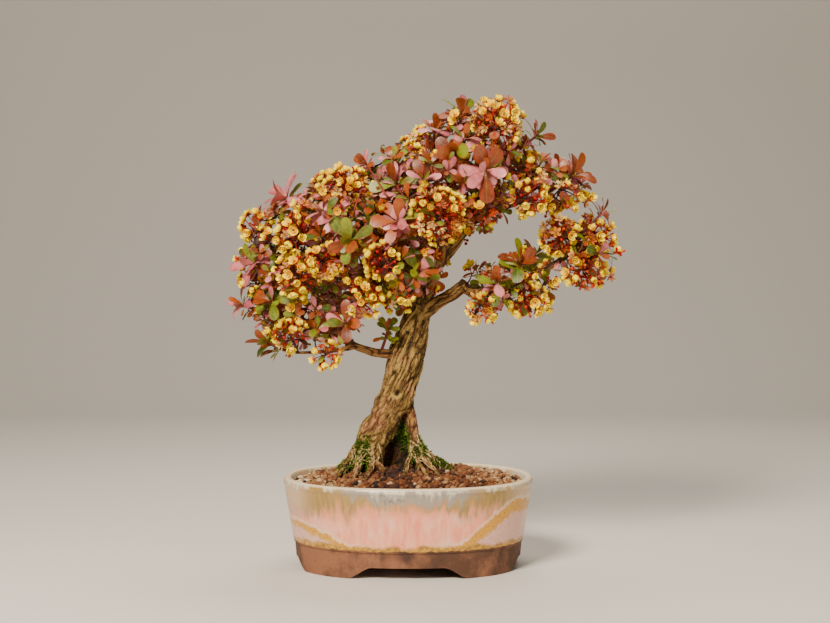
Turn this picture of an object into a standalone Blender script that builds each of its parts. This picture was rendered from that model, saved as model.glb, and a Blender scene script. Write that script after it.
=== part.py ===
"""A flowering barberry bonsai in an oval glazed pot on four clay feet.

Lengths are millimetres, measured from the middle of the pot's base, and become metres in solid().
The tree's wood is one piece. Leafy shoots and flower bunches sit on it, each its own piece.
"""

import math
import random

import bmesh
import bpy
from mathutils import Quaternion, Vector
from mathutils.bvhtree import BVHTree
from mathutils.geometry import delaunay_2d_cdt

MM = 0.001
GAP, SEAT_GAP = 0.35, 0.2

# The pot
POT_WIDTH, POT_DEPTH, POT_HEIGHT = 174.0, 132.0, 63.0
POT_SQUARENESS = 2.2
POT_SIDES = 36
FLOOR_TOP, FLOOR_UNDER = 15.0, 9.0
ARCH_HEIGHT = 8.2
FRONT_ARCH_TOP, FRONT_ARCH_FOOT = 24.0, 42.0
SIDE_ARCH_TOP, SIDE_ARCH_FOOT = 14.0, 29.0
HOLE_RADIUS, HOLE_OFFSET = 7.0, 34.0
# Each pair is how far the wall stands in from the widest oval, and its height.
POT_OUTSIDE = [
    (9.2, 0.0), (7.6, 18.5), (6.7, 19.6), (3.4, 39.0), (0.9, 56.0), (0.0, 59.6), (0.9, 62.3),
    (2.6, POT_HEIGHT), (4.8, 62.6),
]
POT_INSIDE = [(6.0, 60.5), (9.5, 36.0), (13.5, 18.5), (20.0, FLOOR_TOP)]
POT_UNDERSIDE = [(20.0, FLOOR_UNDER), (17.4, 0.0)]

# Netting over the two drain holes
NET_SIZE, NET_THICK, NET_BAR, NET_CELLS = 22.0, 0.9, 2.4, 2

# Soil: a mound of baked clay grit
SOIL_EDGE, SOIL_CROWN = 57.5, 67.5
GRIT_SPACING = 8.4
GRIT_RELIEF, GRIT_DIP, GRIT_SHIFT = 2.0, 0.6, 0.7
GRIT_SEED = 7

# The tree's wood, as stations of x, y, z and radius. An arched hollow splits the trunk's foot into legs.
TRUNK = [
    (-9.0, 0, 107, 10.4), (-8.8, 0, 113, 12.8), (-7.3, 0, 120, 12.3), (-5.8, 0, 127, 11.8),
    (-4.4, 0, 132, 11.4), (-3.0, 0, 138, 11.7), (-1.4, 0, 146, 12.3), (1.5, 0, 155, 11.4),
    (3.9, 0, 165, 10.2), (6.3, 0, 175, 9.3), (7.9, -1, 184, 8.4),
]
TRUNK_SIDES, TRUNK_RIDGE, TRUNK_TWIST = 12, 0.06, 0.14
LEG_SIDES, ROOT_SIDES = 7, 4
LEGS = {
    "left": [
        (-8, 0, 122, 9), (-12, -1, 112, 11.5), (-15.5, -2, 104, 12), (-19, -5, 94, 9.8),
        (-23, -8, 84, 7.0), (-24.3, -9, 75, 6.2), (-24.5, -9, 54, 6.5),
    ],
    "outer_left": [
        (-17, -1, 106, 8.5), (-24, -2, 97, 8), (-30, -3, 88, 6.6), (-35, -4, 80, 5.0),
        (-39, -6, 74, 4.5), (-47, -9, 66, 3.6), (-55, -12, 54, 3),
    ],
    "right": [
        (-2.5, 0, 120, 6.4), (-0.5, -1, 112, 5.4), (1.6, -2, 104, 4.6), (3, -3, 97, 4.7), (4.2, -4, 89, 4.2),
        (6, -6, 80, 3.8), (8, -7, 54, 4),
    ],
    "back": [
        (-4, 4, 118, 8.5), (-6, 8, 104, 10.5), (-6, 13, 88, 12), (-5, 14, 72, 13.5), (-5, 14, 54, 14),
    ],
}
ROOTS = [
    [(-39, -6, 77, 3.2), (-45, -15, 69, 2.3), (-50, -24, 63, 1.7), (-54, -30, 54, 1.3)],
    [(-30, -8, 84, 3.4), (-34, -17, 74, 2.4), (-36, -27, 67, 1.8), (-40, -36, 55, 1.3)],
    [(-25, -12, 76, 3.2), (-26, -22, 69, 2.3), (-29, -32, 64, 1.7), (-29, -42, 55, 1.2)],
    [(-23, -11, 74, 2.8), (-17, -22, 69, 2.0), (-18, -33, 64, 1.5), (-15, -42, 55, 1.2)],
    [(-34, 2, 80, 4.4), (-45, 12, 69, 3.0), (-53, 22, 62, 2.0), (-58, 29, 53, 1.4)],
    [(-16, 18, 76, 4.0), (-24, 30, 68, 2.6), (-30, 40, 61, 1.8), (-33, 46, 53, 1.3)],
    [(-6, 18, 76, 3.8), (-1, 31, 67, 2.4), (4, 41, 61, 1.7), (7, 48, 53, 1.2)],
    [
        (4.5, -5, 88, 3.6), (13, -7, 79, 2.7), (21, -8, 74, 2.4), (30, -10, 68.5, 2.0),
        (42, -12, 55, 1.4),
    ],
    [(5, -6, 84, 3.2), (13, -15, 74, 2.1), (21, -24, 67, 1.6), (28, -34, 55, 1.2)],
    [(4, -6, 86, 3.0), (7, -15, 74, 2.0), (13, -26, 67, 1.6), (15, -37, 55, 1.2)],
    [
        (3.6, -5, 88, 3.2), (3, -10, 78, 2.3), (-1, -15, 71, 2.0), (-3, -25, 66.5, 1.5),
        (-2, -35, 55, 1.2),
    ],
    [(5, 4, 84, 5.0), (16, 11, 72, 3.0), (29, 18, 65, 2.0), (38, 23, 54, 1.4)],
]
BOUGHS = {
    "leader": [
        (5, 0, 172, 8.4), (11, -2, 194, 7.0), (19, -6, 211, 6.1), (32, -8, 226, 5.3),
        (42, -7, 240, 4.4), (48, -5, 255, 3.5), (53, 0, 272, 2.7), (57, 2, 287, 2.0),
        (60, 3, 297, 1.4),
    ],
    "right": [
        (6, 0, 172, 7.0), (13, -3, 179, 5.8), (22, -5, 185, 4.8), (31, -8, 190, 4.7),
        (38, -10, 196, 5.6), (44, -11, 191, 3.8), (62, -12, 193, 3.2), (78, -9, 199, 2.8),
        (95, -4, 207, 2.4), (109, 0, 215, 2.0), (121, 2, 221, 1.4),
    ],
    "left_low": [
        (-3, 0, 147, 5.4), (-14, -4, 148, 4.2), (-24, -8, 149.5, 3.8), (-34, -11, 153, 3.3),
        (-44, -13, 158, 2.8), (-58, -13, 164, 2.4), (-76, -10, 169, 1.9), (-92, -8, 175, 1.5),
        (-99, -9, 183, 1.2),
    ],
    "left_mid": [
        (4, 2, 176, 5.4), (-5, 7, 185, 4.6), (-17, 10, 191, 4.0), (-32, 9, 196, 3.2),
        (-51, 5, 202, 2.6), (-71, 0, 209, 2.0), (-88, -3, 216, 1.5), (-95, -6, 222, 1.2),
    ],
    "left_top": [
        (11, -2, 197, 5.0), (0, -5, 209, 4.3), (-14, -8, 219, 3.7), (-30, -10, 229, 3.1),
        (-47, -8, 238, 2.5), (-63, -5, 247, 1.8), (-76, -1, 252, 1.3),
    ],
    "centre_top": [
        (30, -8, 223, 4.0), (21, 1, 237, 3.4), (12, 7, 251, 2.8), (3, 8, 264, 2.2), (-5, 6, 274, 1.5),
    ],
    "right_top": [
        (41, -7, 238, 3.8), (57, -4, 246, 3.2), (72, -4, 252, 2.7), (88, -3, 257, 2.1),
        (101, 0, 262, 1.5),
    ],
    "back_low": [(8, 0, 191, 4.4), (11, 22, 205, 3.4), (10, 42, 219, 2.4), (5, 57, 229, 1.5)],
    "back_high": [(37, -6, 231, 3.8), (39, 18, 243, 3.0), (36, 38, 255, 2.2), (32, 50, 264, 1.4)],
    "front_mid": [(23, -8, 214, 3.8), (25, -24, 225, 2.6), (22, -38, 234, 1.6)],
    "front_low": [(8, 0, 190, 3.8), (6, -16, 198, 2.6), (0, -27, 205, 1.9), (-10, -35, 209, 1.4)],
    "left_low_under": [
        (-35, -11, 154, 2.8), (-50, -21, 152, 2.1), (-66, -27, 151, 1.5), (-78, -28, 151, 1.2),
    ],
    "left_low_up": [
        (-41, -13, 159, 2.8), (-48, -20, 174, 2.1), (-56, -27, 186, 1.5), (-65, -31, 192, 1.2),
    ],
    "left_low_back": [
        (-39, -12, 157, 2.8), (-51, 8, 163, 2.1), (-66, 25, 168, 1.5), (-78, 35, 171, 1.2),
    ],
    "left_mid_front": [(-49, 5, 201, 2.6), (-57, -15, 210, 1.9), (-63, -30, 218, 1.3)],
    "left_mid_back": [(-43, 6, 199, 2.8), (-60, 26, 208, 2.0), (-73, 41, 215, 1.3)],
    "left_top_front": [(-24, -9, 225, 2.8), (-30, -30, 232, 2.0), (-35, -45, 238, 1.3)],
    "left_top_back": [(-23, -9, 225, 2.8), (-33, 20, 237, 2.0), (-43, 38, 248, 1.3)],
    "left_top_up": [(-42, -8, 235, 2.4), (-42, -2, 246, 1.7), (-40, 2, 254, 1.3)],
    "centre_up": [(5, 8, 259, 2.4), (15, -1, 275, 1.8), (20, -7, 286, 1.3)],
    "centre_front": [(13, 6, 248, 2.8), (8, -20, 250, 2.0), (3, -36, 249, 1.3)],
    "centre_back": [(12, 8, 251, 2.8), (0, 30, 260, 2.0), (-9, 46, 265, 1.3)],
    "apex_left": [(51, -2, 266, 2.4), (41, -7, 281, 1.8), (33, -9, 293, 1.3)],
    "apex_right": [(55, 1, 279, 2.0), (67, -3, 287, 1.6), (75, -5, 292, 1.3)],
    "apex_front": [(55, 1, 283, 2.0), (58, -20, 288, 1.6), (58, -30, 291, 1.3)],
    "apex_back": [(54, 1, 278, 2.2), (52, 22, 290, 1.6), (50, 34, 297, 1.3)],
    "right_top_front": [(71, -4, 251, 2.4), (74, -18, 254, 1.5)],
    "right_top_back": [(66, -4, 249, 2.4), (78, 16, 256, 1.8), (86, 27, 260, 1.3)],
    "right_inner_front": [(61, -12, 194, 3.0), (65, -22, 190, 1.6)],
    "right_inner_back": [(67, -11, 196, 2.8), (76, 9, 201, 1.9), (81, 20, 204, 1.3)],
    "right_outer_up": [(107, 0, 213, 2.0), (112, -8, 224, 1.6), (118, -12, 232, 1.3)],
    "right_outer_back": [(111, 0, 216, 2.0), (116, 9, 220, 1.4)],
}
THICK_BOUGH = 6.0
THICK_SIDES, THIN_SIDES = 6, 4

# Leafy shoots: the tip of the twig, how long its leaves are, and their tint
SHOOTS = {
    "left_crown": ((-84, -8, 257), 22, "pink"),
    "left_tip": ((-105, -24, 212), 18, "pink"),
    "left_high": ((-48, -38, 242), 21, "pink"),
    "left_spire": ((-29, -10, 280), 13, "pink"),
    "centre_high": ((-8, -30, 266), 22, "pink"),
    "apex_left": ((18, -16, 302), 17, "bronze"),
    "apex_top": ((36, -12, 314), 18, "bronze"),
    "apex_front": ((52, -42, 275), 23, "pink"),
    "apex_middle": ((32, -32, 287), 19, "pink"),
    "right_crown": ((113, -8, 272), 23, "pink"),
    "apex_right": ((88, -6, 299), 16, "bronze"),
    "centre_front": ((-7, -52, 241), 20, "pink"),
    "left_front": ((-38, -54, 228), 20, "green"),
    "centre_low": ((8, -34, 207), 19, "green"),
    "left_end": ((-92, -30, 187), 19, "green"),
    "left_far": ((-114, -15, 183), 15, "bronze"),
    "left_low": ((-94, -24, 157), 19, "green"),
    "trunk": ((-14, -14, 167), 10, "green"),
    "right_inner": ((76, -28, 212), 19, "pink"),
    "right_inner_low": ((60, -34, 199), 16, "bronze"),
    "right_outer": ((133, -10, 246), 15, "bronze"),
    "left_low_inner": ((-42, -34, 172), 17, "bronze"),
    "centre_top": ((11, -42, 269), 18, "bronze"),
    "back_left_high": ((-66, 48, 242), 19, "pink"),
    "back_left_low": ((-84, 44, 190), 18, "green"),
    "back_centre_left": ((-26, 58, 264), 18, "bronze"),
    "back_centre_high": ((22, 54, 286), 18, "pink"),
    "back_centre_low": ((6, 68, 222), 18, "green"),
    "back_apex": ((54, 42, 308), 18, "pink"),
    "back_right_high": ((98, 34, 270), 18, "bronze"),
    "back_right_low": ((90, 30, 216), 17, "green"),
}
TWIG_RADIUS = 1.0
WHORL = 4
WHORL_HEIGHT, SECOND_WHORL_BELOW = 1.3, 7.0
LEAST_LEAVES = 4
BLADE_THICK, BLADE_SHARE, BLADE_ARCH, BLADE_ROLL = 0.7, 0.54, 0.10, 0.2

# Flower bunches: the middle of the bunch, and its radius
BUNCHES = {
    "left_top": ((-43, -12, 262), 18),
    "left_tip": ((-104, -9, 236), 13),
    "left_high": ((-76, -32, 232), 16),
    "left_front": ((-57, -44, 214), 13),
    "centre_front": ((20, -52, 245), 20),
    "apex": ((60, -22, 307), 20),
    "right_high": ((83, -29, 256), 14),
    "right_outer_left": ((103, -15, 230), 15),
    "right_outer": ((129, -4, 229), 16),
    "right_outer_low": ((121, -16, 206), 15),
    "right_inner_low": ((49, -29, 182), 12),
    "right_inner_side": ((82, -24, 187), 14),
    "centre_left": ((-17, -49, 214), 14),
    "left_end": ((-106, -8, 200), 13),
    "left_middle": ((-74, -44, 204), 16),
    "left_low": ((-80, -36, 164), 13),
    "left_low_inner": ((-55, -36, 150), 11),
    "left_inner": ((-30, -34, 188), 14),
    "trunk": ((-10, -18, 187), 10),
    "back_left": ((-54, 42, 220), 18),
    "back_centre": ((-6, 56, 248), 18),
    "back_right": ((48, 52, 262), 18),
    "back_low": ((-58, 36, 180), 16),
    "back_outer": ((118, 22, 226), 14),
}
# A second head, on a neck that grows out of the first
SECOND_HEADS = {
    "left_top": ((-56, 26, 263), 14),
    "left_tip": ((-92, 22, 226), 17),
    "back_low": ((-94, 22, 176), 15),
    "back_right": ((74, 24, 283), 15),
    "back_centre": ((13, 24, 284), 16),
    "apex": ((46, 17, 305), 13),
    "right_inner_side": ((79, 9, 190), 13),
    "right_high": ((51, -28, 248), 13),
}
CORE_SHARE = 0.40
STALK_RADIUS = 1.2
SMALL_BUNCH, MOST_MISSING = 14.5, 2
MIX = "open cup open bud cup open cup bud cup open bud cup open bud".split()
MIX_SMALL = "open cup open bud cup bud open cup bud cup open".split()
PETALS = 5
FLOWER_SHARE, FLOWER_MOST, FLOWER_DEPTH = 0.34, 5.6, 3.2
BUD_RADIUS = 1.7

# Colour and roughness of each material
TINTS = {
    "glaze": ((0.68, 0.44, 0.33), 0.3),
    "grit": ((0.30, 0.13, 0.06), 0.9),
    "bark": ((0.34, 0.20, 0.09), 0.85),
    "netting": ((0.02, 0.02, 0.02), 0.6),
    "pink": ((0.62, 0.22, 0.24), 0.5),
    "bronze": ((0.50, 0.13, 0.03), 0.45),
    "green": ((0.22, 0.25, 0.04), 0.45),
    "flower": ((0.85, 0.55, 0.06), 0.5),
}


def material(tint):
    """The material of one tint, made once."""
    made = bpy.data.materials.get(tint)
    if made is None:
        colour, roughness = TINTS[tint]
        made = bpy.data.materials.new(tint)
        made.use_nodes = True
        shader = made.node_tree.nodes["Principled BSDF"]
        shader.inputs["Base Color"].default_value = (*colour, 1.0)
        shader.inputs["Roughness"].default_value = roughness
    return made


def solid(name, points, faces, tint):
    """A mesh object from points in millimetres, its faces turned outwards."""
    mesh = bpy.data.meshes.new(name)
    mesh.from_pydata([Vector(p) * MM for p in points], [], faces)
    shape = bmesh.new()
    shape.from_mesh(mesh)
    bmesh.ops.recalc_face_normals(shape, faces=shape.faces)
    shape.to_mesh(mesh)
    shape.free()
    mesh.materials.append(material(tint))
    made = bpy.data.objects.new(name, mesh)
    bpy.context.scene.collection.objects.link(made)
    return made


def remove(objects):
    for used in objects:
        bpy.data.objects.remove(used)


def joined(base, others, operation, solver="EXACT"):
    """Applies one Boolean of base with all the others, and removes them."""
    group = bpy.data.collections.new("joining")
    bpy.context.scene.collection.children.link(group)
    for other in others:
        bpy.context.scene.collection.objects.unlink(other)
        group.objects.link(other)
    boolean = base.modifiers.new("join", "BOOLEAN")
    boolean.operation = operation
    boolean.solver = solver
    boolean.operand_type = "COLLECTION"
    boolean.collection = group
    graph = bpy.context.evaluated_depsgraph_get()
    mesh = bpy.data.meshes.new_from_object(base.evaluated_get(graph))
    base.modifiers.clear()
    base.data = mesh
    remove(others)
    bpy.data.collections.remove(group)
    return base


def keep_outer_body(made):
    """Drops the loose scraps that a cut leaves, and fills any hollow that a join seals."""
    shape = bmesh.new()
    shape.from_mesh(made.data)
    bodies, unseen = [], set(shape.verts)
    while unseen:
        body, edge = set(), [unseen.pop()]
        while edge:
            vertex = edge.pop()
            body.add(vertex)
            near = {e.other_vert(vertex) for e in vertex.link_edges} & unseen
            unseen -= near
            edge.extend(near)
        bodies.append(body)
    largest = max(bodies, key=len)
    bmesh.ops.delete(shape, geom=[v for v in shape.verts if v not in largest], context="VERTS")
    shape.to_mesh(made.data)
    shape.free()


def shade_round(made):
    made.data.shade_smooth()
    made.data.set_sharp_from_angle(angle=math.radians(40))


# Pot, netting and soil


def oval(inset, level):
    """One ring of the pot's plan, a slightly squared oval."""
    ring = []
    for i in range(POT_SIDES):
        turn = 2 * math.pi * (i + 0.5) / POT_SIDES
        c, s = math.cos(turn), math.sin(turn)
        x = math.copysign(abs(c) ** (2 / POT_SQUARENESS), c) * (POT_WIDTH / 2 - inset)
        y = math.copysign(abs(s) ** (2 / POT_SQUARENESS), s) * (POT_DEPTH / 2 - inset)
        ring.append((x, y, level))
    return ring


def bands(rings, count):
    """Quads between one ring and the next."""
    faces = []
    for r in range(len(rings) - 1):
        for i in range(count):
            j = (i + 1) % count
            faces.append((r * count + i, r * count + j, (r + 1) * count + j, (r + 1) * count + i))
    return faces


def turned(name, profile, tint):
    """A closed solid of the pot's plan: profile runs from one middle face, over the rim, to the other."""
    rings = [oval(inset, level) for inset, level in profile]
    last = (len(rings) - 1) * POT_SIDES
    faces = bands(rings, POT_SIDES)
    faces += [tuple(range(POT_SIDES)), tuple(range(last, last + POT_SIDES))]
    return solid(name, [p for ring in rings for p in ring], faces, tint)


def arch_outline(half_top, half_foot, steps=5):
    """Half of the arch between two feet: an ogee from the foot up to the flat top."""
    side = []
    for i in range(steps + 1):
        t = i / steps
        side.append((half_foot + (half_top - half_foot) * t, ARCH_HEIGHT * t * t * (3 - 2 * t)))
    return [(half_foot, -2.0)] + side


def arch_cutter(half_top, half_foot, along_x):
    """A bar with the arch's outline, longer than the pot."""
    half = arch_outline(half_top, half_foot)
    outline = half + [(-across, up) for across, up in reversed(half)]
    count, reach = len(outline), POT_WIDTH
    ends = []
    for end in (-reach, reach):
        ends.append([(end, across, up) if along_x else (across, end, up) for across, up in outline])
    faces = bands(ends, count) + [tuple(range(count)), tuple(range(count, 2 * count))]
    return solid("arch_cutter", ends[0] + ends[1], faces, "glaze")


def drain_cutter(x):
    count = 12
    turns = [2 * math.pi * i / count for i in range(count)]
    ring = [(x + HOLE_RADIUS * math.cos(turn), HOLE_RADIUS * math.sin(turn)) for turn in turns]
    levels = [[(*p, z) for p in ring] for z in (0.0, 2 * FLOOR_TOP)]
    faces = bands(levels, count) + [tuple(range(count)), tuple(range(count, 2 * count))]
    return solid("drain_cutter", levels[0] + levels[1], faces, "glaze")


def make_pot():
    pot = turned("pot", POT_INSIDE[::-1] + POT_OUTSIDE[::-1] + POT_UNDERSIDE[::-1], "glaze")
    cutters = [
        arch_cutter(FRONT_ARCH_TOP, FRONT_ARCH_FOOT, along_x=False),
        arch_cutter(SIDE_ARCH_TOP, SIDE_ARCH_FOOT, along_x=True),
        drain_cutter(-HOLE_OFFSET),
        drain_cutter(HOLE_OFFSET),
    ]
    joined(pot, cutters, "DIFFERENCE")
    shade_round(pot)
    return pot


def box(name, low, high, tint):
    xs, ys, zs = zip(low, high)
    corners = [(x, y, z) for x in xs for y in ys for z in zs]
    faces = [(0, 1, 3, 2), (4, 6, 7, 5), (0, 4, 5, 1), (2, 3, 7, 6), (0, 2, 6, 4), (1, 5, 7, 3)]
    return solid(name, corners, faces, tint)


def make_net(name, x):
    """A square of netting with its cells cut through, on the floor over a drain hole."""
    base = FLOOR_TOP + GAP
    half = NET_SIZE / 2
    net = box(name, (x - half, -half, base), (x + half, half, base + NET_THICK), "netting")
    cell = (NET_SIZE - NET_BAR) / NET_CELLS
    cells = []
    for i in range(NET_CELLS):
        for j in range(NET_CELLS):
            left, near = x - half + NET_BAR + i * cell, -half + NET_BAR + j * cell
            far = (left + cell - NET_BAR, near + cell - NET_BAR, base + 2)
            cells.append(box("cell", (left, near, base - 1), far, "netting"))
    return joined(net, cells, "DIFFERENCE")


def soil_height(x, y):
    """The mound: level at the pot's wall, and highest round the trunk."""
    spread = math.hypot(x / (POT_WIDTH / 2 - 7), y / (POT_DEPTH / 2 - 7))
    return SOIL_EDGE + (SOIL_CROWN - SOIL_EDGE) * max(0.0, 1 - spread ** 2) ** 0.8


def grit_points():
    """A hexagonal net in which every third point is the top of a grain."""
    rng = random.Random(GRIT_SEED)
    row_step = GRIT_SPACING * math.sqrt(3) / 2
    rows = int(POT_DEPTH / row_step / 2)
    columns = int(POT_WIDTH / GRIT_SPACING / 2)
    for row in range(-rows, rows + 1):
        for column in range(-columns, columns + 1):
            x = (column + 0.5 * (row % 2)) * GRIT_SPACING + rng.uniform(-GRIT_SHIFT, GRIT_SHIFT)
            y = row * row_step + rng.uniform(-GRIT_SHIFT, GRIT_SHIFT)
            axial = column - (row - row % 2) // 2
            grain = (axial - row) % 3 == 0
            lift = rng.uniform(0.4, 1.0) * GRIT_RELIEF if grain else -rng.uniform(0.2, 1.0) * GRIT_DIP
            yield x, y, lift


def make_soil(wood_cutters, nets):
    """The body of grit inside the pot, with the tree's foot and roots cut out of it."""
    profile = [(inset + GAP, level + GAP) for inset, level in reversed(POT_INSIDE[1:])]
    profile.append((6.4 + GAP, SOIL_EDGE))
    rings = [oval(inset, level) for inset, level in profile]
    points = [p for ring in rings for p in ring]
    faces = bands(rings, POT_SIDES) + [tuple(range(POT_SIDES))]
    rim = rings[-1]
    inner_a, inner_b = POT_WIDTH / 2 - 9.5, POT_DEPTH / 2 - 9.5
    grains = [(x, y, lift) for x, y, lift in grit_points()
              if abs(x / inner_a) ** POT_SQUARENESS + abs(y / inner_b) ** POT_SQUARENESS < 1]
    flat = [Vector((x, y)) for x, y, _ in rim] + [Vector((x, y)) for x, y, _ in grains]
    loop = [(i, (i + 1) % POT_SIDES) for i in range(POT_SIDES)]
    found, _, triangles, _, _, _ = delaunay_2d_cdt(flat, loop, [], 1, 1e-6)
    assert len(found) == len(flat)
    rim_start = (len(rings) - 1) * POT_SIDES
    points += [(x, y, soil_height(x, y) + lift) for x, y, lift in grains]
    faces += [tuple(rim_start + i for i in triangle) for triangle in triangles]
    soil = solid("soil", points, faces, "grit")
    half, top = NET_SIZE / 2 + GAP, FLOOR_TOP + NET_THICK + 2 * GAP
    pockets = [box("pocket", (x - half, -half, FLOOR_TOP - 1), (x + half, half, top), "grit") for x in nets]
    joined(soil, wood_cutters + pockets, "DIFFERENCE")
    keep_outer_body(soil)
    return soil


# Wood


def rounded_route(stations, steps):
    """Catmull-Rom curve through stations of x, y, z and radius."""
    rows = [tuple(map(float, s)) for s in stations]
    ends = [tuple(2 * a - b for a, b in zip(rows[0], rows[1]))] + rows
    ends.append(tuple(2 * a - b for a, b in zip(rows[-1], rows[-2])))
    route = []
    for k in range(1, len(ends) - 2):
        p0, p1, p2, p3 = ends[k - 1 : k + 3]
        for i in range(steps):
            t = i / steps
            point = []
            for a, b, c, d in zip(p0, p1, p2, p3):
                square, cube = 2 * a - 5 * b + 4 * c - d, 3 * b - a - 3 * c + d
                point.append(0.5 * (2 * b + (c - a) * t + square * t ** 2 + cube * t ** 3))
            route.append(tuple(point))
    route.append(rows[-1])
    return route


def limb_mesh(route, sides, ridge=0.0, twist=0.0, extra=0.0):
    """Points and faces of a tapering limb: rings square to the route, carried along it without spinning."""
    centres = [Vector(p[:3]) for p in route]
    centres[-1] += (centres[-1] - centres[-2]).normalized() * extra
    rings = []
    side = None
    for k, centre in enumerate(centres):
        ahead = (centres[min(k + 1, len(centres) - 1)] - centres[max(k - 1, 0)]).normalized()
        side = ahead.orthogonal() if side is None else side - ahead * side.dot(ahead)
        side.normalize()
        over = ahead.cross(side)
        ring = []
        for i in range(sides):
            turn = 2 * math.pi * i / sides + twist * k
            reach = route[k][3] * (1 + ridge * (1 if i % 2 else -1)) + extra
            ring.append(centre + (side * math.cos(turn) + over * math.sin(turn)) * reach)
        rings.append(ring)
    last = (len(rings) - 1) * sides
    faces = bands(rings, sides) + [tuple(range(sides)), tuple(range(last, last + sides))]
    # The same split for every thickness keeps a thicker copy outside a thinner one.
    triangles = [(face[0], face[k], face[k + 1]) for face in faces for k in range(1, len(face) - 1)]
    return [p for ring in rings for p in ring], triangles


def foot_limbs(extra=0.0):
    """The legs and the roots, thickened by extra."""
    legs = [limb_mesh(rounded_route(leg, 1), LEG_SIDES, TRUNK_RIDGE, 0.1, extra) for leg in LEGS.values()]
    return legs + [limb_mesh(rounded_route(root, 1), ROOT_SIDES, extra=extra) for root in ROOTS]


def make_wood():
    trunk = limb_mesh(rounded_route(TRUNK, 1), TRUNK_SIDES, TRUNK_RIDGE, TRUNK_TWIST)
    limbs = foot_limbs()
    for bough in BOUGHS.values():
        thick = bough[0][3] > THICK_BOUGH
        limbs.append(limb_mesh(rounded_route(bough, 1), THICK_SIDES if thick else THIN_SIDES))
    wood = solid("tree_wood", *trunk, "bark")
    joined(wood, [solid("limb", *limb, "bark") for limb in limbs], "UNION", "MANIFOLD")
    keep_outer_body(wood)
    return wood


# Leaves and flowers


def circle(centre, way, side, reach, count, phase=0.0):
    over = way.cross(side)
    made = []
    for i in range(count):
        turn = 2 * math.pi * i / count + phase
        far = reach[i % len(reach)]
        made.append(centre + (side * math.cos(turn) + over * math.sin(turn)) * far)
    return made


class Growth:
    """A closed mesh that grows: ring joins ring, and an item leaves from one of its faces."""

    def __init__(self):
        self.points = []
        self.faces = []

    def ring(self, points):
        start = len(self.points)
        self.points += [Vector(p) for p in points]
        return list(range(start, len(self.points)))

    def join(self, low, high):
        """Faces between two rings, which may have different counts and run the same way round."""
        n, m = len(low), len(high)
        i = j = 0
        while i < n or j < m:
            if n == m and i == j:
                self.faces.append((low[i], low[(i + 1) % n], high[(j + 1) % m], high[j]))
                i, j = i + 1, j + 1
            elif m > 1 and j < m and (i == n or (2 * j + 1) * n < (2 * i + 1) * m):
                self.faces.append((low[i % n], high[(j + 1) % m], high[j]))
                j += 1
            elif i < n:
                self.faces.append((low[i], low[(i + 1) % n], high[j % m]))
                i += 1
            else:
                break

    def item(self, face, rings, far=()):
        """Grows rings of points from a face, which the item replaces. The last is closed, or joined to a far ring."""
        loop = list(face)
        for points in rings:
            above = self.ring(points)
            self.join(loop, above)
            loop = above
        if far:
            self.join(loop, far)
        elif len(loop) > 2:
            self.faces.append(tuple(loop))


class Crown:
    """What already stands in the crown, so that each new twig, leaf or flower can keep clear of it."""

    def __init__(self, wood):
        points = [v.co / MM for v in wood.data.vertices]
        self.wood = BVHTree.FromPolygons(points, [face.vertices for face in wood.data.polygons])
        self.routes = [Vector(p[:3]) for bough in BOUGHS.values() for p in rounded_route(bough, 4)[2:-1]]
        self.items = []
        self.bunches = {}

    def bounds(self, points):
        middle = sum(points, Vector()) / len(points)
        return middle, max((p - middle).length for p in points) + GAP

    def touched(self, points, faces, owner, own=False, gap=GAP):
        """What a mesh comes too near to: the wood and what others own, or else what its owner has."""
        middle, reach = self.bounds(points)
        tree = BVHTree.FromPolygons(points, faces)
        near = [(name, other) for name, at, far, other in self.items
                if (name == owner) == own and (at - middle).length < far + reach]
        if not own:
            near.append(("tree_wood", self.wood))
        return [name for name, other in near
                if other.overlap(tree) or any(other.find_nearest(p, gap)[0] for p in points)]

    def stand(self, owner, points, faces):
        """Adds a core, a stalk or a twig, whose place must be clear."""
        met = self.touched(points, faces, owner, gap=SEAT_GAP)
        assert not met, (owner, met)
        self.add(owner, points, faces)

    def add(self, owner, points, faces):
        self.items.append((owner, *self.bounds(points), BVHTree.FromPolygons(points, faces)))

    def seat(self, tip, radius):
        """Where a twig that ends at tip leaves the nearest bough, just off its bark."""
        centre = min(self.routes, key=lambda p: (p - tip).length)
        way = (centre - tip).normalized()
        ring = [Vector()] + circle(Vector(), way, way.orthogonal().normalized(), [radius], 8)
        hits = [self.wood.ray_cast(tip + offset, way)[3] for offset in ring]
        seat = tip + way * min(hit for hit in hits if hit)
        while any(self.wood.find_nearest(seat + offset, GAP)[0] for offset in ring):
            seat = seat - way * 0.05
        return seat


def item_mesh(base, rings, start=0.0):
    """The item by itself, a closed mesh that begins at its base or a little above it."""
    grown = Growth()
    middle = sum(rings[0], Vector()) / len(rings[0])
    loop = grown.ring([Vector(p).lerp(middle, start) for p in base])
    grown.faces.append(tuple(reversed(loop)))
    grown.item(loop, rings)
    return grown.points, grown.faces


def twig_axis(seat, tip):
    """The way a twig's end points: along the twig, but turned upwards and away from the crown's middle."""
    return ((tip - seat).normalized() * 0.8 + Vector((tip.x * 0.002, tip.y * 0.004, 0.6))).normalized()


def twig_rings(seat, tip):
    """Rings square to a twig that bends upwards: at its seat, then below and above each whorl of leaves."""
    axis = twig_axis(seat, tip)
    way = (tip - seat).normalized()
    side = way.orthogonal().normalized()
    rings = [circle(seat, way, side, [1.15 * TWIG_RADIUS], WHORL)]
    side = (side - axis * side.dot(axis)).normalized()
    for below in (SECOND_WHORL_BELOW + WHORL_HEIGHT, SECOND_WHORL_BELOW, WHORL_HEIGHT, 0.0):
        centre = tip - axis * below
        if (centre - seat).dot(way) > 2.5 or below <= WHORL_HEIGHT:
            rings.append(circle(centre, axis, side, [TWIG_RADIUS], WHORL))
    return rings


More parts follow.
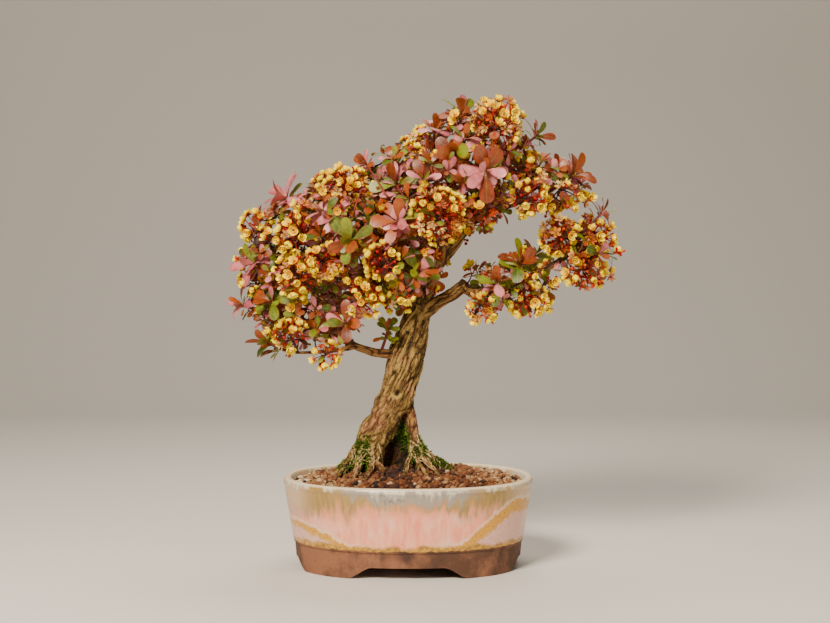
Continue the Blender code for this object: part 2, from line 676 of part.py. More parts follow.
def blade_rings(base, way, length, rng):
    """Sections of a blade that grows from four corners: widest past its middle, round at the tip."""
    foot = sum(base, Vector()) / 4
    across = ((base[1] - base[0]) + (base[2] - base[3])).normalized()
    across = (across - way * across.dot(way)).normalized()
    up = way.cross(across)
    roll = Quaternion(way, rng.uniform(-BLADE_ROLL, BLADE_ROLL))
    across, up = roll @ across, roll @ up
    half, thick = length * BLADE_SHARE / 2, BLADE_THICK / 2
    rings = []
    for t, share in ((0.60, 1.0), (0.88, 0.70)):
        middle = foot + way * (t * length) + up * (BLADE_ARCH * length * math.sin(math.pi * t))
        low, high = middle - up * thick, middle + up * thick
        side = across * (half * share)
        rings.append([low - side, low + side, high + side, high - side])
    tip = foot + way * length
    return rings, [tip - up * thick, tip + up * thick]


def grow_leaf(crown, owner, grown, face, way, length, rng):
    """Grows a leaf from a face of its twig, which it replaces. Without room there, the face stays."""
    base = [grown.points[k] for k in face]
    rings, tip = blade_rings(base, way, length, rng)
    if not place(crown, owner, base, rings + [tip]):
        grown.faces.append(tuple(face))
        return 0
    loop = list(face)
    for points in rings:
        above = grown.ring(points)
        grown.join(loop, above)
        loop = above
    low, high = grown.ring(tip)
    a, b, c, d = loop
    grown.faces += [(a, b, low), (b, c, high, low), (c, d, high), (d, a, low, high)]
    return 1


def make_shoot(crown, name, tip, length, tint):
    """A twig with a whorl of leaves round its tip, one upright leaf in the middle, and two leaves below."""
    owner = "shoot_" + name
    rng = random.Random(name)
    seat, tip = crown.seat(Vector(tip), 1.2 * TWIG_RADIUS), Vector(tip)
    axis = twig_axis(seat, tip)
    grown = Growth()
    loops = [grown.ring(ring) for ring in twig_rings(seat, tip)]
    grown.faces.append(tuple(reversed(loops[0])))
    made = 0
    for low, high in zip(loops, loops[1:]):
        whorl = (grown.points[high[0]] - grown.points[low[0]]).length < 1.5 * WHORL_HEIGHT
        top = high is loops[-1]
        middle = sum((grown.points[k] for k in low + high), Vector()) / (2 * WHORL)
        for i in range(WHORL):
            face = (low[i], low[(i + 1) % WHORL], high[(i + 1) % WHORL], high[i])
            lean = math.radians(rng.uniform(42, 58) if i % 2 else rng.uniform(52, 75))
            size = length * rng.uniform(0.8, 1.05) * (1.0 if top else 0.8)
            out = sum((grown.points[k] for k in face), Vector()) / 4 - middle
            way = axis * math.cos(lean) + (out - axis * out.dot(axis)).normalized() * math.sin(lean)
            if whorl and (top or i % 2 == 0):
                made += grow_leaf(crown, owner, grown, face, way, size, rng)
            else:
                grown.faces.append(face)
    made += grow_leaf(crown, owner, grown, loops[-1], axis, 0.85 * length, rng)
    assert made >= LEAST_LEAVES, (owner, made)
    return solid(owner, grown.points, grown.faces, tint)


def place(crown, owner, base, rings):
    """Adds an item to the crown if it is clear there."""
    mesh = item_mesh(base, rings)
    above_base = item_mesh(base, rings, start=0.1)
    if crown.touched(*mesh, owner) or crown.touched(*above_base, owner, own=True, gap=0.05):
        return False
    crown.add(owner, *mesh)
    return True


class Head:
    """A head of flowers: its small core, an icosahedron, and the faces of it that are still free."""

    def __init__(self, middle, radius):
        self.centre, self.radius = Vector(middle), radius
        shape = bmesh.new()
        bmesh.ops.create_icosphere(shape, subdivisions=1, radius=radius * CORE_SHARE)
        self.points = [v.co + self.centre for v in shape.verts]
        self.faces = [tuple(v.index for v in face.verts) for face in shape.faces]
        shape.free()
        self.free = list(self.faces)

    def corners(self, face):
        return [self.points[k] for k in face]

    def way_of(self, face):
        return (sum(self.corners(face), Vector()) / 3 - self.centre).normalized()

    def take(self, way):
        """Takes the free face that looks most along way."""
        self.free.sort(key=lambda face: -self.way_of(face).dot(way))
        return self.free.pop(0)

    def limb(self, way, end):
        """A thin limb from the face that looks most along way: the face, and the limb's two rings."""
        face = self.take(way)
        side = self.points[face[0]] - self.centre
        side = (side - way * side.dot(way)).normalized()
        start = self.centre + way * (self.radius * CORE_SHARE + 1.5)
        return face, [circle(at, way, side, [STALK_RADIUS], 3) for at in (start, end)]


def flower_rings(way, side, mouth, size, open_wide):
    """A trumpet: the ring of its petals' tips, with notches if it is open, and the floor of its cup."""
    if not open_wide:
        return [circle(mouth, way, side, [size * 0.72], PETALS), [mouth - way * (0.4 * FLOWER_DEPTH)]]
    cup = circle(mouth, way, side, [size, size * 0.6], 2 * PETALS)
    cup = [p - way * (0.3 * FLOWER_DEPTH * (i % 2)) for i, p in enumerate(cup)]
    return [cup, [mouth - way * (0.8 * FLOWER_DEPTH)]]


def bud_rings(way, side, tip):
    return [circle(tip - way * 1.4, way, side, [BUD_RADIUS], 3), [tip]]


def grow_head(crown, owner, grown, head, start, root, rng):
    """Grows flowers and buds from the free faces of a head's core, first on the side away from its root."""
    kinds = list(MIX_SMALL if head.radius < SMALL_BUNCH or start else MIX)
    size = min(FLOWER_MOST, head.radius * FLOWER_SHARE)
    for face in sorted(head.free, key=lambda face: head.way_of(face).dot(root) + rng.uniform(0, 0.6)):
        base, way = head.corners(face), head.way_of(face)
        side = (base[0] - sum(base, Vector()) / 3).normalized()
        reach = head.centre + way * (head.radius * rng.uniform(0.92, 1.05))
        rings = bud_rings(way, side, reach)
        if kinds and kinds[0] != "bud":
            rings = flower_rings(way, side, reach, size, kinds[0] == "open")
        loop = tuple(start + k for k in face)
        if kinds and place(crown, owner, base, rings):
            grown.item(loop, rings)
            kinds.pop(0)
        else:
            grown.faces.append(loop)
    assert len(kinds) <= MOST_MISSING, (owner, kinds)


def make_bunch(crown, name):
    """A bunch of flowers on a stalk: one head, or two that a neck joins."""
    owner = "bunch_" + name
    rng = random.Random(name)
    heads, (face, stalk), neck = crown.bunches[owner]
    grown = Growth()
    starts = [grown.ring(head.points)[0] for head in heads]
    grown.item(face, stalk)
    roots = [(stalk[-1][0] - heads[0].centre).normalized()]
    if neck:
        near, rings, far = neck
        grown.item(near, rings, [starts[1] + k for k in far])
        roots.append((heads[0].centre - heads[1].centre).normalized())
    for head, start, root in zip(heads, starts, roots):
        grow_head(crown, owner, grown, head, start, root, rng)
    return solid(owner, grown.points, grown.faces, "flower")


def neck_between(first, second):
    """A thin limb from one head to another: the faces at its ends, the far one turned to fit, and its rings."""
    way = (second.centre - first.centre).normalized()
    face, rings = first.limb(way, second.centre - way * (second.radius * CORE_SHARE + 1.5))
    far = tuple(reversed(second.take(-way)))
    turned_faces = [far[k:] + far[:k] for k in range(3)]

    def misfit(loop):
        return sum((p - q).length for p, q in zip(second.corners(loop), rings[-1]))

    return face, rings, min(turned_faces, key=misfit)


def place_bunch(crown, name, middle, radius):
    """Finds room for a bunch's cores, its neck, and the stalk that joins it to the nearest bough."""
    owner = "bunch_" + name
    heads, neck = [Head(middle, radius)], None
    if name in SECOND_HEADS:
        heads.append(Head(*SECOND_HEADS[name]))
        neck = neck_between(*heads)
        crown.stand(owner, *item_mesh(heads[0].corners(neck[0]), neck[1]))
    seat = crown.seat(heads[0].centre, 1.2 * STALK_RADIUS)
    stalk = heads[0].limb((seat - heads[0].centre).normalized(), seat)
    for head in heads:
        crown.stand(owner, head.points, head.faces)
    crown.stand(owner, *item_mesh(heads[0].corners(stalk[0]), stalk[1]))
    crown.bunches[owner] = (heads, stalk, neck)


def place_twig(crown, name, tip):
    owner, tip = "shoot_" + name, Vector(tip)
    rings = twig_rings(crown.seat(tip, 1.2 * TWIG_RADIUS), tip)
    crown.stand(owner, *item_mesh(rings[0], rings[1:]))


def make_crown(wood):
    """Every shoot and bunch. All twigs and cores find their places first, then the leaves and flowers."""
    crown = Crown(wood)
    for name, bunch in BUNCHES.items():
        place_bunch(crown, name, *bunch)
    for name, (tip, _, _) in SHOOTS.items():
        place_twig(crown, name, tip)
    made = [make_bunch(crown, name) for name in BUNCHES]
    return made + [make_shoot(crown, name, *shoot) for name, shoot in SHOOTS.items()]


def stand_on_origin(objects):
    """Carries every object on one empty that sets the middle of the whole part's foot at the origin."""
    points = [made.matrix_world @ Vector(corner) for made in objects for corner in made.bound_box]
    low = [min(p[i] for p in points) for i in range(3)]
    high = [max(p[i] for p in points) for i in range(3)]
    stand = bpy.data.objects.new("stand", None)
    bpy.context.scene.collection.objects.link(stand)
    stand.location = (-(low[0] + high[0]) / 2, -(low[1] + high[1]) / 2, -low[2])
    for made in objects:
        made.parent = stand


def main():
    remove(list(bpy.data.objects))
    wood = make_wood()
    nets = {"net_left": -HOLE_OFFSET, "net_right": HOLE_OFFSET}
    cutters = [solid("foot_cutter", *limb, "grit") for limb in foot_limbs(GAP)]
    parts = [make_pot(), wood, make_soil(cutters, nets.values())]
    parts += [make_net(name, x) for name, x in nets.items()]
    parts += make_crown(wood)
    bpy.context.view_layer.update()
    stand_on_origin(parts)
    print(sum(len(face.vertices) - 2 for made in parts for face in made.data.polygons), "triangles")


main()
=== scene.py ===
# %% [markdown]
# # A barberry bonsai in flower
#
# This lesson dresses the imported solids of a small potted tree. The solids give every piece its place
# and its main form. Here the pot gets its glaze, the wood its bark, the soil its grains, and the
# crown its thousands of small leaves and flowers. Lengths are millimetres from the middle of the
# pot's foot, as on a maker's drawing, and become metres when a mesh is made.

# %% The frame that everything is fitted to
import math
import random

import bpy
import numpy as np
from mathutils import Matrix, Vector, noise
from mathutils.bvhtree import BVHTree


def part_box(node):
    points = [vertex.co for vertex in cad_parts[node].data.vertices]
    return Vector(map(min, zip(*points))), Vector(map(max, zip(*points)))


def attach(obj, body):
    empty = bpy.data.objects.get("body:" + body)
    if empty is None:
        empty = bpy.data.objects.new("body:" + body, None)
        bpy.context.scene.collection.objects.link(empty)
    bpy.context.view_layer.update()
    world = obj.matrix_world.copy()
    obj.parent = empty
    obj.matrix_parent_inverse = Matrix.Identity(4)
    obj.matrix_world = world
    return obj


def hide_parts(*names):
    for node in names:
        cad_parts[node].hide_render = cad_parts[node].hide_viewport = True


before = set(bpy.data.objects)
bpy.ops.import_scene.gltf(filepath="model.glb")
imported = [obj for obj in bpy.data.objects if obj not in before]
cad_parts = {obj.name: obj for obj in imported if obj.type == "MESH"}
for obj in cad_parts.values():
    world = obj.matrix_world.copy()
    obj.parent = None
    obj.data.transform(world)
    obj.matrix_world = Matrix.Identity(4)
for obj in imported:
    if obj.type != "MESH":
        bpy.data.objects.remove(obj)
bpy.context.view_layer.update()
MM = 0.001
pot_low, pot_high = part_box("pot")
POT_MIDDLE = Vector(((pot_low.x + pot_high.x) / 2, (pot_low.y + pot_high.y) / 2, pot_low.z))
print(len(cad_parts), "solids, the pot's middle is at", [round(v / MM, 1) for v in POT_MIDDLE])

# %% [markdown]
# ## Camera
#
# The camera was found from the pot alone: its rim, foot and glaze line fix the distance and the
# slight downward tilt. A 78 mm lens from 1.25 m keeps the parallel look of the picture.

# %% Camera
CAMERA_AT = (4.8, -1250.0, 252.5)
CAMERA_DOWN = 0.060
LENS_MM, SENSOR_MM = 78.0, 36.0

camera_data = bpy.data.cameras.new("camera")
camera_data.lens = LENS_MM
camera_data.sensor_width = SENSOR_MM
camera = bpy.data.objects.new("camera", camera_data)
camera.location = POT_MIDDLE + Vector(CAMERA_AT) * MM
camera.rotation_euler = (math.pi / 2 - CAMERA_DOWN, 0, 0)
bpy.context.scene.collection.objects.link(camera)
bpy.context.scene.camera = camera
print("camera", round(camera_data.lens), "mm lens at", [round(v, 3) for v in camera.location])

# %% [markdown]
# ## Colours and nodes
#
# Colours are written as sRGB hex codes, and a shader takes linear numbers. Each helper below adds one
# kind of node, so that a material reads like a recipe.

# %% Helpers for materials


def linear(code):
    """An sRGB hex colour as the linear numbers that a shader takes."""
    parts = [int(code[i:i + 2], 16) / 255 for i in (1, 3, 5)]
    return (*(c / 12.92 if c <= 0.04045 else ((c + 0.055) / 1.055) ** 2.4 for c in parts), 1.0)


def feed(node, inputs):
    """Sets a node's inputs to values, or links them to other nodes' outputs."""
    for name, value in inputs.items():
        socket = node.inputs[name]
        if isinstance(value, bpy.types.NodeSocket):
            node.id_data.links.new(value, socket)
        else:
            socket.default_value = value


def add_node(tree, kind, inputs=None, **settings):
    made = tree.nodes.new("ShaderNode" + kind)
    for name, value in settings.items():
        setattr(made, name, value)
    feed(made, inputs or {})
    return made


def new_finish(name, **values):
    """A material with a Principled shader. Values are set on the shader's own sockets."""
    made = bpy.data.materials.new(name)
    made.use_nodes = True
    shader = made.node_tree.nodes["Principled BSDF"]
    feed(shader, {key.replace("_", " "): value for key, value in values.items()})
    return made, made.node_tree, shader


def mark_of(tree, name, output="Fac"):
    """A number or vector that the mesh keeps on its points or faces."""
    return add_node(tree, "Attribute", attribute_name=name).outputs[output]


def math_of(tree, operation, *values, clamp=False):
    return add_node(tree, "Math", dict(enumerate(values)), operation=operation, use_clamp=clamp).outputs[0]


def band(tree, value, low, high, to_low=0.0, to_high=1.0, step="SMOOTHSTEP"):
    """Goes from one number to another as value runs from low to high."""
    return add_node(tree, "MapRange", {"Value": value, "From Min": low, "From Max": high,
                                       "To Min": to_low, "To Max": to_high},
                    interpolation_type=step).outputs[0]


def blend_of(tree, factor, below, above):
    """Below where factor is 0, above where it is 1."""
    values = {"Factor": factor}
    for key, value in (("A", below), ("B", above)):
        values[key] = linear(value) if isinstance(value, str) else value
    return add_node(tree, "Mix", values, data_type="RGBA").outputs[2]


def ramp_of(tree, value, stops):
    """The colour of a value between stops, which are places and colours."""
    made = add_node(tree, "ValToRGB", {"Fac": value})
    ramp = made.color_ramp
    while len(ramp.elements) < len(stops):
        ramp.elements.new(0.5)
    for element, (place, colour) in zip(ramp.elements, stops):
        element.position = place
        element.color = linear(colour)
    return made.outputs["Color"]


def noise_of(tree, size_mm, detail=3.0, roughness=0.5, stretch=(1, 1, 1), vector_mm=None):
    """Noise whose blobs are about size_mm wide, in the object's space or along a vector in millimetres."""
    scale = (1000 if vector_mm is None else 1) / size_mm
    vector = add_node(tree, "TexCoord").outputs["Object"] if vector_mm is None else vector_mm
    moved = add_node(tree, "Mapping", {"Vector": vector, "Scale": stretch}).outputs[0]
    return add_node(tree, "TexNoise", {"Vector": moved, "Scale": scale, "Detail": detail,
                                       "Roughness": roughness}).outputs["Fac"]


def paint(shader, colour, height=None, strength=0.0, depth=0.0):
    """Gives a shader its colour, and a height as fine relief with a depth in metres."""
    feed(shader, {"Base Color": colour})
    if height is not None:
        bump = add_node(shader.id_data, "Bump", {"Height": height, "Strength": strength, "Distance": depth})
        feed(shader, {"Normal": bump.outputs["Normal"]})


print("material helpers ready")

# %% [markdown]
# ## Floor and light
#
# A pale sheet that curves up behind the tree gives the plain ground of a product picture. Three
# large soft lamps do the rest: a key from the upper left front, a weaker fill from the right, and
# one from above and behind that lifts the leaves off the ground colour.

# %% Floor
# In metres: half the sheet's width, where its curve starts, the curve's radius, and the sheet's top
HALF_WIDTH, CURVE_START, CURVE_RADIUS, SHEET_TOP = 4.0, 0.9, 0.6, 3.0

paper, tree, shader = new_finish("backdrop_paper", Roughness=0.9)
paint(shader, linear("#D9D6D0"))
# The curve's first point is doubled, so that the flat part is shaded flat
sweep = [(-HALF_WIDTH, 0.0)]
for i in range(25):
    turn = math.pi / 2 * max(0, i - 1) / 23
    sweep.append((CURVE_START + CURVE_RADIUS * math.sin(turn), CURVE_RADIUS - CURVE_RADIUS * math.cos(turn)))
sweep.append((CURVE_START + CURVE_RADIUS, SHEET_TOP))
verts = [(x, y, z) for y, z in sweep for x in (-HALF_WIDTH, HALF_WIDTH)]
quads = [(2 * i, 2 * i + 1, 2 * i + 3, 2 * i + 2) for i in range(len(sweep) - 1)]
floor_mesh = bpy.data.meshes.new("floor")
floor_mesh.from_pydata(verts, [], quads)
floor_mesh.materials.append(paper)
floor_mesh.shade_smooth()
floor = bpy.data.objects.new("floor", floor_mesh)
bpy.context.scene.collection.objects.link(floor)
print("floor of", len(quads), "strips")

# %% Lights


def soft_lamp(name, place, aim, size, power, colour):
    """A square softbox that faces what it lights."""
    lamp = bpy.data.lights.new(name, "AREA")
    lamp.size = size
    lamp.energy = power
    lamp.color = linear(colour)[:3]
    made = bpy.data.objects.new(name, lamp)
    made.location = place
    made.rotation_euler = (Vector(aim) - Vector(place)).to_track_quat("-Z", "Y").to_euler()
    bpy.context.scene.collection.objects.link(made)
    return made


soft_lamp("key", (-0.42, -0.92, 0.90), (0, 0, 0.17), 0.36, 31.0, "#FFF0DC")
soft_lamp("fill", (0.95, -0.75, 0.45), (0, 0, 0.15), 0.8, 4.6, "#FFF1E0")
soft_lamp("top", (0.1, 0.35, 1.0), (0, 0, 0.2), 0.6, 6.5, "#FFF4E6")
world = bpy.data.worlds.new("studio")
world.use_nodes = True
world.node_tree.nodes["Background"].inputs["Color"].default_value = linear("#EEE6DA")
world.node_tree.nodes["Background"].inputs["Strength"].default_value = 0.07
bpy.context.scene.world = world
print("three lamps and a pale world")

# %% [markdown]
# ## Shapes made of numbers
#
# Leaves, petals and grains repeat thousands of times, so they are built as plain arrays and joined
# before Blender makes a mesh of them. Besides its points and triangles each shape keeps four
# marks that the materials read: how far along the piece a point is, how near its edge, a tone
# that differs from one leaf to the next, and whether a face is on the underside.

# %% Shape arrays


class Shape:
    """Points, triangles and the marks that the materials read."""

    def __init__(self, points, faces, along=0.0, edge=0.0, under=0.0, finish=0, tone=0.0):
        self.points = np.asarray(points, float).reshape(-1, 3)
        self.faces = np.asarray(faces, int).reshape(-1, 3)
        for mark, values, count in (("along", along, len(self.points)), ("edge", edge, len(self.points)),
                                    ("tone", tone, len(self.points)), ("under", under, len(self.faces))):
            setattr(self, mark, np.broadcast_to(np.asarray(values, float), count))
        self.finish = np.broadcast_to(np.asarray(finish, int), len(self.faces))

    def moved(self, axes, origin, scale=1.0, tone=None, finish=None):
        """A copy, turned so that its x, y and z follow the three axes, then scaled and carried to origin."""
        return Shape(self.points * scale @ np.asarray(axes, float) + np.asarray(origin, float), self.faces,
                     self.along, self.edge, self.under, self.finish if finish is None else finish,
                     self.tone if tone is None else tone)


def joined(shapes):
    """One shape from many."""
    starts = np.cumsum([0] + [len(s.points) for s in shapes[:-1]])
    faces = np.concatenate([s.faces + start for s, start in zip(shapes, starts)])
    points, *marks = (np.concatenate([getattr(s, mark) for s in shapes])
                      for mark in ("points", "along", "edge", "under", "finish", "tone"))
    return Shape(points, faces, *marks)


def new_piece(name, shape, finishes, smooth=True, replaces=()):
    """A mesh object that rides on the tree's one body. The shape's finish numbers pick from finishes."""
    used = sorted(set(shape.finish.tolist()))
    mesh = bpy.data.meshes.new(name)
    mesh.vertices.add(len(shape.points))
    mesh.vertices.foreach_set("co", (shape.points * MM + np.array(POT_MIDDLE)).astype(np.float32).ravel())
    mesh.loops.add(shape.faces.size)
    mesh.loops.foreach_set("vertex_index", shape.faces.astype(np.int32).ravel())
    mesh.polygons.add(len(shape.faces))
    mesh.polygons.foreach_set("loop_start", np.arange(0, shape.faces.size, 3, dtype=np.int32))
    mesh.polygons.foreach_set("material_index", np.searchsorted(used, shape.finish).astype(np.int32))
    mesh.polygons.foreach_set("use_smooth", np.full(len(shape.faces), smooth))
    for number in used:
        mesh.materials.append(finishes[number])
    mesh.update(calc_edges=True)
    if smooth:
        mesh.set_sharp_from_angle(angle=math.radians(100))
    for mark, domain in (("along", "POINT"), ("edge", "POINT"), ("tone", "POINT"), ("under", "FACE")):
        kept = mesh.attributes.new(mark, "FLOAT", domain)
        kept.data.foreach_set("value", getattr(shape, mark).astype(np.float32))
    made = bpy.data.objects.new(name, mesh)
    bpy.context.scene.collection.objects.link(made)
    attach(made, "root")
    if replaces:
        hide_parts(*replaces)
    counts.append(len(shape.faces))
    return made


def baked(made):
    """The mesh of an object with its modifiers applied."""
    return bpy.data.meshes.new_from_object(made.evaluated_get(bpy.context.evaluated_depsgraph_get()))


counts = []


def unit(v):
    return v / (np.linalg.norm(v) + 1e-12)


def shaken(rng, amount):
    """Three random numbers that lie mostly within amount of 0."""
    return np.array([rng.gauss(0, amount) for _ in range(3)])


def axes_along(way, near=(0.0, 0.0, 1.0)):
    """Three square axes: across, along way, and the side of it that looks towards near."""
    way = unit(np.asarray(way, float))
    up = np.asarray(near, float) - way * np.dot(near, way)
    if np.linalg.norm(up) < 1e-3:
        up = np.array([1.0, 0.0, 0.0]) - way * way[0]
    up = unit(up)
    return np.array([np.cross(way, up), way, up])


def tube(route, radii, sides, finish, tone=0.0):
    """A closed tube along a route, its rings carried on without spinning, its far end a point."""
    route = np.asarray(route, float)
    count = len(route)
    ahead = np.gradient(route, axis=0)
    side = np.cross(ahead[0], (0.31, 0.87, 0.38))
    points = []
    for k in range(count):
        way = unit(ahead[k])
        side = unit(side - way * np.dot(side, way))
        over = np.cross(way, side)
        for i in range(sides):
            turn = 2 * math.pi * i / sides
            points.append(route[k] + (side * math.cos(turn) + over * math.sin(turn)) * radii[k])
    points.append(route[0])
    points.append(route[-1] + unit(ahead[-1]) * radii[-1])
    faces = []
    for k in range(count - 1):
        for i in range(sides):
            a, b = k * sides + i, k * sides + (i + 1) % sides
            faces += [(a, b, b + sides), (a, b + sides, a + sides)]
    last = (count - 1) * sides
    for i in range(sides):
        j = (i + 1) % sides
        faces += [(j, i, count * sides), (last + i, last + j, count * sides + 1)]
    along = np.concatenate([np.repeat(np.linspace(0, 1, count), sides), [0, 1]])
    return Shape(points, faces, along, finish=finish, tone=tone)


def blade(stations, thick, arch, fold, curl, finish):
    """A leaf or petal of length 1 along y, as a closed thin lens. Stations are places and half widths."""
    points, along, edge = [], [], []
    for t, half in stations:
        middle = arch * math.sin(math.pi * t) - curl * t ** 2
        depth = thick * (1 - 0.6 * t)
        rim = middle + fold * half
        for x, z in ((-half, rim), (0, middle + depth), (half, rim), (0, middle - depth)):
            points.append((x, t, z))
        along += [t] * 4
        edge += [1, 0, 1, 0]
    points.append((0, 1.0, arch * math.sin(math.pi) - curl))
    along.append(1.0)
    edge.append(1.0)
    faces, under = [(0, 1, 2), (0, 2, 3)], [0, 1]
    for k in range(len(stations) - 1):
        for i in range(4):
            a, b = 4 * k + i, 4 * k + (i + 1) % 4
            faces += [(a, a + 4, b), (b, a + 4, b + 4)]
            under += [i > 1] * 2
    last, tip = 4 * len(stations) - 4, 4 * len(stations)
    for i in range(4):
        faces.append((last + i, tip, last + (i + 1) % 4))
        under.append(i > 1)
    faces = [(a, c, b) for a, b, c in faces]
    return Shape(points, faces, along, edge, under, finish)


print("shape tools ready")

# %% [markdown]
# ## The wood's routes
#
# The solids hold the wood as one body. These are the routes that its limbs follow, with a radius at
# each station, the same numbers as in the solids. The bark needs them for the way its ridges run,
# and the crown for where its twigs start.

# %% Routes of trunk, legs and boughs
TRUNK = [
    (-9.0, 0, 107, 10.4), (-8.8, 0, 113, 12.8), (-7.3, 0, 120, 12.3), (-5.8, 0, 127, 11.8),
    (-4.4, 0, 132, 11.4), (-3.0, 0, 138, 11.7), (-1.4, 0, 146, 12.3), (1.5, 0, 155, 11.4),
    (3.9, 0, 165, 10.2), (6.3, 0, 175, 9.3), (7.9, -1, 184, 8.4),
]
LEGS = {
    "left": [
        (-8, 0, 122, 9), (-12, -1, 112, 11.5), (-15.5, -2, 104, 12), (-19, -5, 94, 9.8),
        (-23, -8, 84, 7.0), (-24.3, -9, 75, 6.2), (-24.5, -9, 54, 6.5),
    ],
    "outer_left": [
        (-17, -1, 106, 8.5), (-24, -2, 97, 8), (-30, -3, 88, 6.6), (-35, -4, 80, 5.0),
        (-39, -6, 74, 4.5), (-47, -9, 66, 3.6), (-55, -12, 54, 3),
    ],
    "right": [
        (-2.5, 0, 120, 6.4), (-0.5, -1, 112, 5.4), (1.6, -2, 104, 4.6), (3, -3, 97, 4.7), (4.2, -4, 89, 4.2),
        (6, -6, 80, 3.8), (8, -7, 54, 4),
    ],
    "back": [
        (-4, 4, 118, 8.5), (-6, 8, 104, 10.5), (-6, 13, 88, 12), (-5, 14, 72, 13.5), (-5, 14, 54, 14),
    ],
}
ROOTS = [
    [(-39, -6, 77, 3.2), (-45, -15, 69, 2.3), (-50, -24, 63, 1.7), (-54, -30, 54, 1.3)],
    [(-30, -8, 84, 3.4), (-34, -17, 74, 2.4), (-36, -27, 67, 1.8), (-40, -36, 55, 1.3)],
    [(-25, -12, 76, 3.2), (-26, -22, 69, 2.3), (-29, -32, 64, 1.7), (-29, -42, 55, 1.2)],
    [(-23, -11, 74, 2.8), (-17, -22, 69, 2.0), (-18, -33, 64, 1.5), (-15, -42, 55, 1.2)],
    [(-34, 2, 80, 4.4), (-45, 12, 69, 3.0), (-53, 22, 62, 2.0), (-58, 29, 53, 1.4)],
    [(-16, 18, 76, 4.0), (-24, 30, 68, 2.6), (-30, 40, 61, 1.8), (-33, 46, 53, 1.3)],
    [(-6, 18, 76, 3.8), (-1, 31, 67, 2.4), (4, 41, 61, 1.7), (7, 48, 53, 1.2)],
    [
        (4.5, -5, 88, 3.6), (13, -7, 79, 2.7), (21, -8, 74, 2.4), (30, -10, 68.5, 2.0),
        (42, -12, 55, 1.4),
    ],
    [(5, -6, 84, 3.2), (13, -15, 74, 2.1), (21, -24, 67, 1.6), (28, -34, 55, 1.2)],
    [(4, -6, 86, 3.0), (7, -15, 74, 2.0), (13, -26, 67, 1.6), (15, -37, 55, 1.2)],
    [
        (3.6, -5, 88, 3.2), (3, -10, 78, 2.3), (-1, -15, 71, 2.0), (-3, -25, 66.5, 1.5),
        (-2, -35, 55, 1.2),
    ],
    [(5, 4, 84, 5.0), (16, 11, 72, 3.0), (29, 18, 65, 2.0), (38, 23, 54, 1.4)],
]
